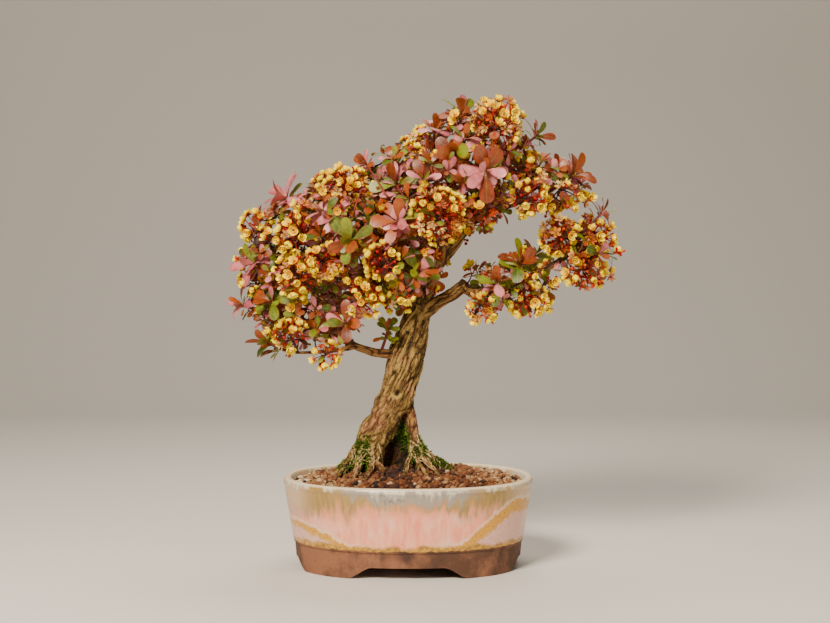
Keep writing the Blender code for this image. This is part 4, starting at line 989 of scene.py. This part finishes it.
# %% Moss
moss, tree, shader = new_finish("moss", Roughness=0.8, IOR=1.4)
dark = ramp_of(tree, mark_of(tree, "tone"), [(0.0, "#0E1A04"), (0.5, "#2C460B"), (1.0, "#68861C")])
paint(shader, blend_of(tree, band(tree, mark_of(tree, "along"), 0.2, 1.0), dark, "#6E8A20"))

TUFTS, SPIKES_A_TUFT = 2400, 5
SPIKE = Shape([(-0.22, 0, -0.13), (0.22, 0, -0.13), (0, 0, 0.25), (0, 1, 0)],
              [(0, 1, 3), (1, 2, 3), (2, 0, 3), (0, 2, 1)], [0, 0, 0, 1])
corners = bark_points[wood_faces]
normals = np.cross(corners[:, 1] - corners[:, 0], corners[:, 2] - corners[:, 0])
middles = corners.mean(axis=1)
damp = mossiness(middles) * np.linalg.norm(normals, axis=1)
picks = np.random.default_rng(5).choice(len(middles), TUFTS, p=damp / damp.sum())
rng = random.Random(8)
spikes = []
for pick in picks:
    for _ in range(SPIKES_A_TUFT):
        way = unit(normals[pick]) + shaken(rng, 0.45) + np.array([0, 0, 0.25])
        foot = middles[pick] + shaken(rng, 0.35) - 0.2 * unit(normals[pick])
        spikes.append(SPIKE.moved(axes_along(way), foot, rng.uniform(0.8, 2.1), rng.random()))
new_piece("moss", joined(spikes), [moss])
print("moss of", counts[-1], "triangles")

# %% Fine roots
root_skin, tree, shader = new_finish("pale_fine_root", Roughness=0.8, IOR=1.42)
paint(shader, blend_of(tree, band(tree, noise_of(tree, 1.4, 3.0), 0.38, 0.62), "#7A5A34", "#C6AA7C"))


def creep(start, way, steps, stride, rng):
    """A route that feels its way down over bark and soil."""
    spot, way = np.array(start, float), unit(np.array(way, float))
    route = []
    for _ in range(steps):
        hits = [ground.find_nearest(Vector(spot), 9) for ground in (bark_tree, soil_tree)]
        near = [hit for hit in hits if hit[0] is not None]
        if not near:
            break
        at, normal, _, _ = min(near, key=lambda hit: hit[3])
        if (Vector(spot) - at).dot(normal) < 0 and normal.z < 0:
            normal = -normal
        spot = np.array(at + normal * 0.25)
        route.append(spot)
        way = unit(way + shaken(rng, 0.35) + np.array([0, 0, -0.12]))
        spot = spot + way * stride
    return route


ROOT_STEPS, ROOT_STRIDE = 14, 2.4
rng = random.Random(14)
fine_roots = []
# Where they leave the bark, which way they go, and how many
for start, way, many in [((-31, -14, 84), (-0.4, -0.6, -1), 7), ((-24, -17, 82), (0.1, -0.5, -1), 6),
                         ((-37, -10, 79), (-0.8, -0.4, -1), 5), ((4, -11, 88), (0.2, -0.5, -1), 5),
                         ((8, -11, 83), (0.7, -0.5, -0.9), 6), ((14, -11, 78), (1, -0.4, -0.6), 5),
                         ((2, -10, 84), (-0.5, -0.6, -1), 4), ((-38, 0, 80), (-1, 0.4, -0.8), 3),
                         ((-12, 24, 86), (-0.3, 0.8, -1), 3), ((0, 20, 84), (0.6, 0.8, -1), 3)]:
    for _ in range(many):
        spread_out = np.array([rng.gauss(0, 3.5), rng.gauss(0, 1.5), rng.gauss(0, 3.0)])
        route = creep(start + spread_out, np.array(way) + shaken(rng, 0.3), ROOT_STEPS, ROOT_STRIDE, rng)
        if len(route) > 4:
            thick = rng.uniform(0.3, 0.75)
            fine_roots.append(tube(route, np.linspace(thick, 0.2, len(route)), 5, 0, rng.random()))
new_piece("fine_roots", joined(fine_roots), [root_skin])
print(len(fine_roots), "fine roots of", counts[-1], "triangles")

# %% [markdown]
# ## Leaves
#
# A barberry leaf is a small paddle, widest near its round tip. In spring its upper side is pink and
# ages to bronze and green, and one rosette holds more than one of them. The tone of each leaf
# shifts its colour, the edge mark gives the red rim and the pale midrib, and the underside is paler and
# dull. Light passes through so thin a blade, so a little of it is scattered inside.

# %% Leaf finishes


def leaf_finish(name, young, old, rim, rib, back, gloss):
    """A leaf's material. Its tone runs from young to old."""
    made, tree, shader = new_finish(name, Roughness=gloss, IOR=1.45, Subsurface_Weight=0.12,
                                    Subsurface_Scale=0.003, Subsurface_Radius=(1.0, 0.45, 0.25))
    marks = {mark: mark_of(tree, mark) for mark in ("along", "edge", "tone", "under")}
    blotch = noise_of(tree, 4.0, 3.0, 0.6)
    age = math_of(tree, "ADD", marks["tone"], band(tree, blotch, 0.3, 0.7, -0.25, 0.25), clamp=True)
    face = blend_of(tree, age, young, old)
    for part, colour in ((band(tree, marks["edge"], 0.6, 1.0, 0.0, 0.5), rim),
                         (band(tree, marks["edge"], 0.0, 0.12, 0.4, 0.0), rib),
                         (band(tree, marks["along"], 0.0, 0.35, 0.6, 0.0), rib),
                         (math_of(tree, "MULTIPLY", marks["under"], 0.75), back)):
        face = blend_of(tree, part, face, colour)
    paint(shader, face, blotch, 0.25, 0.0004)
    feed(shader, {"Roughness": math_of(tree, "MULTIPLY_ADD", marks["under"], 0.3, gloss)})
    return made


def plain_finish(name, stops, mark, rough, fleck_mm, fleck, shine=0.0):
    """A material whose colour follows one mark, with fine flecks of another colour."""
    made, tree, shader = new_finish(name, Roughness=rough, IOR=1.45, Subsurface_Weight=shine,
                                    Subsurface_Scale=0.002)
    flecks = band(tree, noise_of(tree, fleck_mm, 3.0, 0.6), 0.45, 0.7, 0.0, 0.6)
    paint(shader, blend_of(tree, flecks, ramp_of(tree, mark_of(tree, mark), stops), fleck))
    return made


PINK, BRONZE, GREEN, TWIG, PETAL, CALYX, SPENT, STALK, SHADED = range(9)
finishes = [
    leaf_finish("young_leaf_pink", "#E08C8E", "#A44C56", "#8A1A24", "#C07E74", "#9C504A", 0.42),
    leaf_finish("ageing_leaf_bronze", "#A04A16", "#5A240E", "#A0180C", "#7E7428", "#84401C", 0.40),
    leaf_finish("grown_leaf_green", "#7E8A1E", "#344A10", "#84400F", "#8E9628", "#687226", 0.42),
    plain_finish("young_barberry_wood", [(0.0, "#160805"), (0.5, "#3A170D"), (1.0, "#7A2416")], "tone", 0.6,
                 0.8, "#5E3620"),
    # Each petal darkens to orange towards its base: partly the petal's own colour, partly painted shade deep
    # in the cup
    plain_finish("lemon_petal", [(0.0, "#A84400"), (0.25, "#E89E00"), (0.6, "#FFDC00"), (1.0, "#FFF61C")],
                 "along", 0.5, 2.5, "#FFD600"),
    plain_finish("red_sepal", [(0.0, "#840A0E"), (0.5, "#B01C16"), (1.0, "#CC5026")], "tone", 0.45, 1.5,
                 "#6A0C04", 0.2),
    plain_finish("spent_petal", [(0.0, "#B83A0C"), (0.4, "#D8983C"), (0.7, "#EACB84"), (1.0, "#A8240C")],
                 "tone", 0.55, 1.2, "#C03A0E", 0.2),
    plain_finish("red_flower_stalk", [(0.0, "#6A0A10"), (1.0, "#B02A24")], "tone", 0.5, 1.0, "#7E1412"),
    # Painted shade: the dark leaves deep inside the crown and inside the balls of flowers stand in for the
    # shade there
    leaf_finish("painted_shade_inner_leaf", "#4E1606", "#1C0A04", "#5A0A04", "#4A240C", "#341406", 0.6),
]
# The flowers' finishes are matt, so no white sheen dulls their colours
for made in finishes[PETAL:STALK + 1]:
    feed(made.node_tree.nodes["Principled BSDF"], {"Specular IOR Level": 0.15})
print(len(finishes), "finishes for the crown")

# %% Leaf shapes
# From one leaf or flower to the next on a stem, in radians, close to the golden angle
SPIRAL_TURN = 2.4
PADDLE = [(0.0, 0.03), (0.18, 0.07), (0.38, 0.17), (0.58, 0.245), (0.76, 0.275), (0.90, 0.23), (0.98, 0.12)]


def leaf_variants(count):
    rng = random.Random(31)
    made = []
    for _ in range(count):
        wide = rng.uniform(0.82, 1.08)
        made.append(blade([(t, half * wide) for t, half in PADDLE], 0.016, rng.uniform(0.03, 0.12),
                          rng.uniform(0.02, 0.22), rng.uniform(-0.05, 0.20), PINK))
    return made


LEAVES = leaf_variants(12)
TINT_MIX = {"pink": [PINK] * 6 + [BRONZE] * 4 + [GREEN], "bronze": [BRONZE] * 6 + [PINK] * 3 + [GREEN] * 2,
            "green": [GREEN] * 6 + [BRONZE] * 3 + [PINK],
            "shaded": [SHADED] * 6 + [BRONZE] * 2 + [GREEN]}


def leaf(foot, way, near, length, tint, rng):
    axes = axes_along(way, near + shaken(rng, 0.28))
    return rng.choice(LEAVES).moved(axes, foot, length, rng.random(), rng.choice(TINT_MIX[tint]))


def rosette(foot, axis, length, count, tint, rng, lean=(28, 82), light=None):
    """Leaves in a spiral, the lower ones longer and leaning out further. Their faces turn to the light."""
    light = axis if light is None else light
    axes = axes_along(axis, shaken(rng, 1))
    made = []
    for k in range(count):
        share = (k + 0.5) / count
        turn = SPIRAL_TURN * k + rng.uniform(-0.3, 0.3)
        tilt = math.radians(lean[1] + (lean[0] - lean[1]) * share + rng.uniform(-9, 9))
        out = axes[0] * math.cos(turn) + axes[2] * math.sin(turn)
        way = axes[1] * math.cos(tilt) + out * math.sin(tilt)
        size = length * (1.05 - 0.4 * share) * rng.uniform(0.85, 1.1)
        made.append(leaf(foot + axes[1] * (2.2 * share - 1.6) + 0.3 * out, way, light, size, tint, rng))
    return made


print("a leaf has", len(LEAVES[0].faces), "triangles")

# %% [markdown]
# ## Flowers
#
# A barberry flower is a hanging cup about 7 mm wide. Red-tinged sepals hold a ring of larger
# lemon petals and an inner ring that stays half closed round a green pistil. Several flowers and
# round red buds share one stalk. A few kinds of cup, turned and scaled, are enough.

# %% Flower shapes
PETAL_LONG = [(0.0, 0.15), (0.42, 0.42), (0.84, 0.36)]
PETAL_SHORT = [(0.0, 0.13), (0.68, 0.33)]


def petal_ring(shape, count, tilt, start, lift, size, finish, rng):
    made = []
    for i in range(count):
        turn = start + 2 * math.pi * i / count + rng.uniform(-0.12, 0.12)
        lean = math.radians(tilt + rng.uniform(-8, 8))
        out = np.array([math.cos(turn), 0, math.sin(turn)])
        way = np.array([0, math.cos(lean), 0]) + out * math.sin(lean)
        inner = np.array([0, math.sin(lean), 0]) - out * math.cos(lean)
        made.append(shape.moved(axes_along(way, inner), 0.12 * out + (0, lift, 0),
                                size * rng.uniform(0.9, 1.08), None, finish))
    return made


def drop(low, high, wide, finish, sides=4):
    """A small closed form from one point to another on the y axis."""
    turns = [2 * math.pi * i / sides for i in range(sides)]
    points = [(wide * math.cos(turn), (low + high) / 2, wide * math.sin(turn)) for turn in turns]
    points += [(0, low, 0), (0, high, 0)]
    faces = []
    for i in range(sides):
        j = (i + 1) % sides
        faces += [(i, j, sides), (j, i, sides + 1)]
    return Shape(points, faces, [0.5] * sides + [0, 1], finish=finish)


def flower(seed, outer_tilt, inner_tilt, spent):
    """A flower along y with petals of length 1. A spent one has narrower petals that bend out."""
    rng = random.Random(seed)
    wide, curl = (0.6, 0.10) if spent else (1.0, -0.34)
    long_petal = blade([(t, half * wide) for t, half in PETAL_LONG], 0.03, -0.22, 0.32, curl, PETAL)
    short_petal = blade([(t, half * wide) for t, half in PETAL_SHORT], 0.03, -0.14, 0.35, 0.7 * curl, PETAL)
    petals = SPENT if spent else PETAL
    parts = petal_ring(short_petal, 3, 84, 0.5, -0.05, 0.95 if spent else 0.85, CALYX, rng)
    parts += petal_ring(long_petal, 5, outer_tilt, 0.0, 0.05, 1.0, petals, rng)
    parts += petal_ring(short_petal, 4, inner_tilt, 0.4, 0.12, 0.78, petals, rng)
    parts.append(drop(-0.28, 0.16, 0.17, CALYX))
    parts.append(drop(0.05, 0.62, 0.13, GREEN))
    return joined(parts)


# How far the outer and the inner petals lean, in degrees
LEANS = [(58, 34), (52, 28), (66, 40), (50, 28), (44, 24), (62, 38), (48, 22), (40, 18), (60, 30), (36, 16),
         (54, 32), (72, 44)]
FLOWERS = [flower(k, outer, inner, k % 4 == 3) for k, (outer, inner) in enumerate(LEANS)]
BUD = joined([drop(-0.9, 0.75, 0.72, CALYX, 6), drop(-1.3, -0.3, 0.35, CALYX)])


def pedicel(start, end, rng, thick=0.34):
    """A thin bent stalk."""
    start, end = np.array(start, float), np.array(end, float)
    bend = (start + end) / 2 + shaken(rng, 0.06) * np.linalg.norm(end - start)
    return tube([start, bend, end], [thick, 0.8 * thick, thick], 3, STALK, rng.random())


def blossom(spot, way, size, rng, buds=0.28):
    """A flower or a bud at a spot, facing way."""
    axes = axes_along(way, shaken(rng, 1))
    if rng.random() < buds:
        return BUD.moved(axes, spot, size * rng.uniform(0.36, 0.5), rng.random())
    return rng.choice(FLOWERS).moved(axes, spot, size * rng.uniform(0.85, 1.1), rng.random())


def raceme(foot, axis, length, count, size, rng):
    """A bending stalk with flowers on short stalks of their own."""
    axes = axes_along(axis, shaken(rng, 1))
    end = foot + axes[1] * length + (0, 0, -0.25 * length)
    route = [foot, foot + axes[1] * 0.55 * length, end]
    parts = [tube(route, [0.35, 0.32, 0.28], 3, STALK, rng.random())]
    for k in range(count):
        share = 0.35 + 0.65 * k / max(1, count - 1)
        base = np.array(route[0]) * (1 - share) ** 2 + 2 * share * (1 - share) * route[1] + share ** 2 * end
        turn = SPIRAL_TURN * k + rng.uniform(-0.5, 0.5)
        out = unit(axes[0] * math.cos(turn) + axes[2] * math.sin(turn) + axes[1] * (0.5 + share))
        spot = base + out * size * rng.uniform(0.55, 1.0)
        parts += [pedicel(base, spot, rng), blossom(spot, out, size, rng)]
    return parts


print("a flower has", len(FLOWERS[0].faces), "triangles, a bud", len(BUD.faces))

# %% [markdown]
# ## The shoots and bunches of the solids
#
# Each solid of the crown gets its real piece here, in the same place: every blade of a shoot
# becomes a leaf, small leaves fill its whorls, and every bunch becomes a ball of flowers on thin stalks
# that meet at the end of its twig.

# %% Tables of shoots and bunches
SHOOTS = {
    "left_crown": ((-84, -8, 257), 22, "pink"),
    "left_tip": ((-105, -24, 212), 18, "pink"),
    "left_high": ((-48, -38, 242), 21, "pink"),
    "left_spire": ((-29, -10, 280), 13, "pink"),
    "centre_high": ((-8, -30, 266), 22, "pink"),
    "apex_left": ((18, -16, 302), 17, "bronze"),
    "apex_top": ((36, -12, 314), 18, "bronze"),
    "apex_front": ((52, -42, 275), 23, "pink"),
    "apex_middle": ((32, -32, 287), 19, "bronze"),
    "right_crown": ((113, -8, 272), 23, "pink"),
    "apex_right": ((88, -6, 299), 16, "bronze"),
    "centre_front": ((-7, -52, 241), 20, "pink"),
    "left_front": ((-38, -54, 228), 20, "green"),
    "centre_low": ((8, -34, 207), 19, "green"),
    "left_end": ((-92, -30, 187), 19, "green"),
    "left_far": ((-114, -15, 183), 15, "bronze"),
    "left_low": ((-94, -24, 157), 19, "green"),
    "trunk": ((-14, -14, 167), 10, "green"),
    "right_inner": ((76, -28, 212), 19, "bronze"),
    "right_inner_low": ((60, -34, 199), 16, "bronze"),
    "right_outer": ((133, -10, 246), 15, "bronze"),
    "left_low_inner": ((-42, -34, 172), 17, "bronze"),
    "centre_top": ((11, -42, 269), 18, "bronze"),
    "back_left_high": ((-66, 48, 242), 19, "pink"),
    "back_left_low": ((-84, 44, 190), 18, "green"),
    "back_centre_left": ((-26, 58, 264), 18, "bronze"),
    "back_centre_high": ((22, 54, 286), 18, "pink"),
    "back_centre_low": ((6, 68, 222), 18, "green"),
    "back_apex": ((54, 42, 308), 18, "pink"),
    "back_right_high": ((98, 34, 270), 18, "bronze"),
    "back_right_low": ((90, 30, 216), 17, "green"),
}
BUNCHES = {
    "left_top": ((-43, -12, 262), 18),
    "left_tip": ((-104, -9, 236), 13),
    "left_high": ((-76, -32, 232), 16),
    "left_front": ((-57, -44, 214), 13),
    "centre_front": ((20, -52, 245), 20),
    "apex": ((60, -22, 307), 20),
    "right_high": ((83, -29, 256), 14),
    "right_outer_left": ((103, -15, 230), 15),
    "right_outer": ((129, -4, 229), 16),
    "right_outer_low": ((121, -16, 206), 15),
    "right_inner_low": ((49, -29, 182), 12),
    "right_inner_side": ((82, -24, 187), 14),
    "centre_left": ((-17, -49, 214), 14),
    "left_end": ((-106, -8, 200), 13),
    "left_middle": ((-74, -44, 204), 16),
    "left_low": ((-80, -36, 164), 13),
    "left_low_inner": ((-55, -36, 150), 11),
    "left_inner": ((-30, -34, 188), 14),
    "trunk": ((-10, -18, 187), 10),
    "back_left": ((-54, 42, 220), 18),
    "back_centre": ((-6, 56, 248), 18),
    "back_right": ((48, 52, 262), 18),
    "back_low": ((-58, 36, 180), 16),
    "back_outer": ((118, 22, 226), 14),
}
SECOND_HEADS = {
    "left_top": ((-56, 26, 263), 14),
    "left_tip": ((-92, 22, 226), 17),
    "back_low": ((-94, 22, 176), 15),
    "back_right": ((74, 24, 283), 15),
    "back_centre": ((13, 24, 284), 16),
    "apex": ((46, 17, 305), 13),
    "right_inner_side": ((79, 9, 190), 13),
    "right_high": ((51, -28, 248), 13),
}
TWIG_RADIUS = 1.0
bough_points = np.concatenate([rounded_route(bough, 4)[2:-1, :3] for bough in BOUGHS.values()])
wood_tree = tree_of("tree_wood")


def seat_of(tip, radius):
    """Where the twig that ends at tip leaves the nearest bough, a little inside its bark."""
    tip = np.array(tip, float)
    centre = bough_points[np.argmin(np.linalg.norm(bough_points - tip, axis=1))]
    way = unit(centre - tip)
    hit = wood_tree.ray_cast(Vector(tip), Vector(way))
    return tip + way * ((hit[3] if hit[0] is not None else np.linalg.norm(centre - tip)) + 0.8)


def bezier(start, bend, end, count):
    t = np.linspace(0, 1, count)[:, None]
    return (1 - t) ** 2 * np.array(start) + 2 * t * (1 - t) * np.array(bend) + t ** 2 * np.array(end)


print(len(SHOOTS), "shoots and", len(BUNCHES), "bunches")

# %% Shoots
LEAF_SHARE, SHORTEST_LEAF = 0.90, 12.5
# A shoot with a twig at least this long carries a second whorl, this far below the first
LONG_TWIG, WHORLS_APART = 11.5, 7.0

for name, (tip, length, tint) in SHOOTS.items():
    rng = random.Random(name)
    tip = np.array(tip, float)
    seat = seat_of(tip, TWIG_RADIUS)
    axis = unit(unit(tip - seat) * 0.8 + (tip[0] * 0.002, tip[1] * 0.004, 0.6))
    side = np.array(Vector(unit(tip - seat)).orthogonal().normalized())
    side = unit(side - axis * np.dot(side, axis))
    over = np.cross(axis, side)
    # Leaves turn their faces up and away from the trunk
    light = unit(axis + 0.6 * unit(np.array([0.4 * tip[0], tip[1], 0.0])))
    whorls = [0.0] if np.linalg.norm(tip - seat) < LONG_TWIG else [WHORLS_APART, 0.0]
    parts = [tube(bezier(seat, tip - axis * 7.5, tip, 7), np.linspace(1.15, 0.8, 7), 7, TWIG,
                  0.5 + 0.5 * rng.random())]
    for below in whorls:
        foot = tip - axis * (below + 0.65)
        for i in range(6):
            turn = math.pi / 3 * (i + 0.75) + rng.uniform(-0.25, 0.25)
            out = side * math.cos(turn) + over * math.sin(turn)
            lean = math.radians(rng.uniform(34, 62) if i % 2 else rng.uniform(58, 98))
            size = LEAF_SHARE * max(length, SHORTEST_LEAF) * rng.uniform(0.8, 1.08)
            size *= 1.0 if below == 0 else 0.85
            if below == 0 or i % 2 == 0:
                way = axis * math.cos(lean) + out * math.sin(lean)
                parts.append(leaf(foot + 0.6 * out, way, light, size, tint, rng))
    parts.append(leaf(tip - 0.4 * axis, axis + 0.12 * side, light, 0.75 * length, tint, rng))
    parts += rosette(tip - 1.5 * axis, axis, 0.62 * length, 5, tint, rng, (30, 80), light)
    parts += rosette(tip - 6.5 * axis, axis, 0.62 * length, 6, tint, rng, (60, 95), light)
    new_piece("leafy_shoot_" + name, joined(parts), finishes, replaces=["shoot_" + name])
print(len(SHOOTS), "shoots, the last of", counts[-1], "triangles")

# %% Bunches


def ball_points(count, rng):
    """Directions spread evenly over a ball."""
    made = []
    start = rng.uniform(0, 2 * math.pi)
    for k in range(count):
        z = 1 - 2 * (k + 0.5) / count
        turn = start + 2.39996 * k
        flat = math.sqrt(1 - z * z)
        made.append(np.array([flat * math.cos(turn), flat * math.sin(turn), z]))
    return made


FLOWER_SIZE = 4.1


def head_of_flowers(middle, radius, root, rng):
    """One ball of flowers on thin stalks and the twig that carries it. Returns its shapes and its heart."""
    back = unit(root - middle)
    heart = middle + back * radius * 0.25
    parts = [tube(bezier(root, (root + heart) / 2 + (0, 0, 1.5), heart, 6), np.linspace(1.3, 0.7, 6), 6, TWIG,
                  rng.random())]
    knots = [heart + d * radius * 0.30 for d in ball_points(7, rng)]
    parts += [tube([heart, knot], [0.6, 0.45], 4, TWIG, rng.random()) for knot in knots]
    for way in ball_points(int((0.17 if radius > 13 else 0.13) * radius ** 2), rng):
        if way @ back > 0.8:
            continue
        spot = middle + way * (radius - 2.2) * rng.uniform(0.80, 1.03)
        knot = min(knots, key=lambda k: np.linalg.norm(k - spot))
        facing = unit(way + shaken(rng, 0.28))
        parts += [pedicel(knot, spot - 0.8 * facing, rng), blossom(spot, facing, FLOWER_SIZE, rng)]
    for way in ball_points(9, rng):
        # Painted shade: most leaves at a ball's heart are the dark shaded kind
        tint = rng.choice(("shaded", "shaded", "bronze", "green"))
        size = radius * rng.uniform(0.55, 0.8)
        parts.append(leaf(heart + way * radius * 0.2, way, (0, 0, 1), size, tint, rng))
    return parts, heart


for name, (middle, radius) in BUNCHES.items():
    rng = random.Random(name)
    middle = np.array(middle, float)
    parts, heart = head_of_flowers(middle, radius, seat_of(middle, 1.4), rng)
    if name in SECOND_HEADS:
        second, reach = SECOND_HEADS[name]
        parts += head_of_flowers(np.array(second, float), reach, heart, rng)[0]
    new_piece("flowers_" + name, joined(parts), finishes, replaces=["bunch_" + name])
print(len(BUNCHES), "bunches, the last of", counts[-1], "triangles")

# %% [markdown]
# ## The rest of the crown
#
# The crown is a heap of rounded pads. Points scattered through the outer layer of each pad become
# the ends of fine twigs, and each twig grows from the nearest wood that is there already, so that
# the twigs branch as a real tree's do. At its end stands a small rosette or a spray of flowers.

# %% Pads and their points
# Middle and radii of each pad
PADS = [
    ((-87, -2, 217), (30, 42, 41)), ((-44, 0, 231), (43, 58, 45)), ((-70, 0, 174), (39, 42, 22)),
    ((12, 0, 260), (46, 60, 42)), ((47, 0, 294), (38, 42, 28)), ((94, 0, 265), (31, 38, 20)),
    ((121, 0, 218), (25, 30, 27)), ((70, -4, 197), (31, 34, 21)), ((-5, 0, 212), (30, 60, 33)),
    ((46, 4, 254), (26, 50, 22)), ((18, 0, 220), (13, 17, 15)),
]
# Places where the sky shows through: middle x and z, and radii
OPENINGS = [((54, 215), (15, 9)), ((75, 229), (18, 9)), ((102, 243), (16, 6)), ((28, 200), (8, 14)),
            ((-31, 158), (14, 7))]
# Least distance between twig ends in a pad's outer layer, and where its sparser inside begins
SPREAD, INNER_SHARE = 9.6, 0.62
DARTS = 60000


def pad_share(points):
    """How far out each point lies in the pad that holds it most deeply: 0 in a middle, 1 on an edge."""
    shares = [np.linalg.norm((points - np.array(middle)) / np.array(size), axis=1) for middle, size in PADS]
    return np.min(shares, axis=0)


throws = np.random.default_rng(77)
low = np.min([np.array(m) - s for m, s in PADS], axis=0)
high = np.max([np.array(m) + s for m, s in PADS], axis=0)
darts = throws.uniform(low, high, (DARTS, 3))
share = pad_share(darts)
keep = (share < 0.90) & (darts[:, 2] > 140)
for (x, z), (rx, rz) in OPENINGS:
    keep &= np.hypot((darts[:, 0] - x) / rx, (darts[:, 2] - z) / rz) > 1
for middle, radius in [*BUNCHES.values(), *SECOND_HEADS.values()]:
    keep &= np.linalg.norm(darts - np.array(middle), axis=1) > 0.95 * radius
for tip, length, _ in SHOOTS.values():
    keep &= np.linalg.norm(darts - np.array(tip), axis=1) > 0.5 * length
clumps = np.array([noise.noise(Vector(dart) / 12) for dart in darts.tolist()])
keep &= (share < 0.55) | (clumps > -0.05)
darts, share = darts[keep], share[keep]
ends, shares = [], []
grid = {}
for dart, depth_share in zip(darts, share):
    apart = SPREAD if depth_share > INNER_SHARE else 1.5 * SPREAD
    cell = tuple((dart // 15).astype(int))
    near = [p for i in (-1, 0, 1) for j in (-1, 0, 1) for k in (-1, 0, 1)
            for p in grid.get((cell[0] + i, cell[1] + j, cell[2] + k), ())]
    if near and np.min(np.linalg.norm(np.array(near) - dart, axis=1)) < apart:
        continue
    grid.setdefault(cell, []).append(dart)
    ends.append(dart)
    shares.append(depth_share)
print(len(ends), "twig ends")

# %% Fine twigs
skeleton = [p for bough in BOUGHS.values() for p in rounded_route(bough, 5)[3:, :3]]
for name, (tip, _, _) in SHOOTS.items():
    skeleton += list(bezier(seat_of(tip, 1), tip, tip, 5)[1:-1])
first = np.array(skeleton, float)
order = sorted(range(len(ends)), key=lambda k: np.min(np.linalg.norm(first - ends[k], axis=1)))
rng = random.Random(40)
twigs, outward_ways = [], {}
known = first
for k in order:
    end = ends[k]
    far = np.linalg.norm(known - end, axis=1)
    start = known[np.argmin(far + 0.15 * np.arange(len(known)) / len(known))]
    length = np.linalg.norm(end - start)
    middle = np.array(min(PADS, key=lambda pad: np.linalg.norm((end - np.array(pad[0])) / pad[1]))[0], float)
    away = unit(end - middle)
    bend = (start + end) / 2 - away * 0.12 * length + shaken(rng, 0.08 * length)
    route = bezier(start, bend, end, max(3, int(length / 4) + 2))
    thick = 0.5 + 0.02 * length
    twigs.append(tube(route, np.linspace(thick, 0.4, len(route)), 4, TWIG, rng.random()))
    known = np.vstack([known, route[1:]])
    outward_ways[k] = unit(0.6 * away + 0.55 * unit(end - start) + (0, 0, 0.35))
# Young red stems that rise clear of the leaves, and one bare twig at the top
for route in ([(-12, -40, 255), (-15, -44, 259), (-22, -32, 270), (-29, -11, 279)],
              [(-36, -46, 244), (-35, -51, 250), (-31, -44, 262)],
              [(17, -42, 270), (15.5, -44, 277), (12, -28, 292), (16, -16, 301)],
              [(49, 0, 296), (54, -1, 312), (56, 0, 325)]):
    bent = rounded_route([(*spot, 0) for spot in route], 4)[:, :3]
    twigs.append(tube(bent, np.linspace(0.85, 0.4, len(bent)), 6, TWIG, 1.0))
new_piece("fine_twigs", joined(twigs), finishes)
print(len(twigs), "fine twigs of", counts[-1], "triangles")

# %% Leaves and flowers on the fine twigs
rng = random.Random(52)
grown = []
for k, (end, depth_share) in enumerate(zip(ends, shares)):
    way = outward_ways[k]
    inner = depth_share < INNER_SHARE
    low_down = np.clip((end[2] - 150) / 120, 0, 1)
    pinkness = (0.10 + 0.3 * low_down) * (0.35 if end[0] > 60 and end[2] < 250 else 1.0)
    tint = rng.choices(("pink", "bronze", "green"), (pinkness, 0.65, 0.55 - 0.40 * low_down))[0]
    # Painted shade: twig ends deep inside a pad carry the dark shaded leaves
    if inner:
        tint = "shaded"
    if inner or rng.random() < (0.70 if end[0] < 0 else 0.52):
        grown += rosette(end, way, rng.uniform(7.5, 13.0), 5 if inner else rng.choice((5, 6, 7)), tint, rng)
    else:
        grown += raceme(end - way, way, rng.uniform(5, 9), rng.choice((2, 3, 3, 4)), 3.8, rng)
        grown += rosette(end - way, way, rng.uniform(7, 11), 3, tint, rng, (60, 95))
crown = joined(grown)
for names, numbers, slot in ((["pink"], [PINK], "leaf_pink"), (["bronze"], [BRONZE, SHADED], "leaf_bronze"),
                             (["green"], [GREEN], "leaf_green"),
                             (["left", "middle", "right"], [PETAL, CALYX, SPENT, STALK], "flower")):
    mine = np.isin(crown.finish, numbers)
    across = crown.points[crown.faces[:, 0], 0]
    edges = [-1e9] + list(np.quantile(across[mine], np.arange(1, len(names)) / len(names))) + [1e9]
    for part, low_x, high_x in zip(names, edges, edges[1:]):
        chosen = mine & (across >= low_x) & (across < high_x)
        used, faces = np.unique(crown.faces[chosen], return_inverse=True)
        piece = Shape(crown.points[used], faces.reshape(-1, 3), crown.along[used], crown.edge[used],
                      crown.under[chosen], crown.finish[chosen], crown.tone[used])
        new_piece("crown_" + part + ("_flowers" if slot == "flower" else "_leaves"), piece, finishes)
        print("crown", part, counts[-1], "triangles")

# %% [markdown]
# ## Triangles
#
# The triangles of all the added pieces are counted.

# %% The count of triangles
print(sum(counts), "triangles in", len(counts), "added pieces")
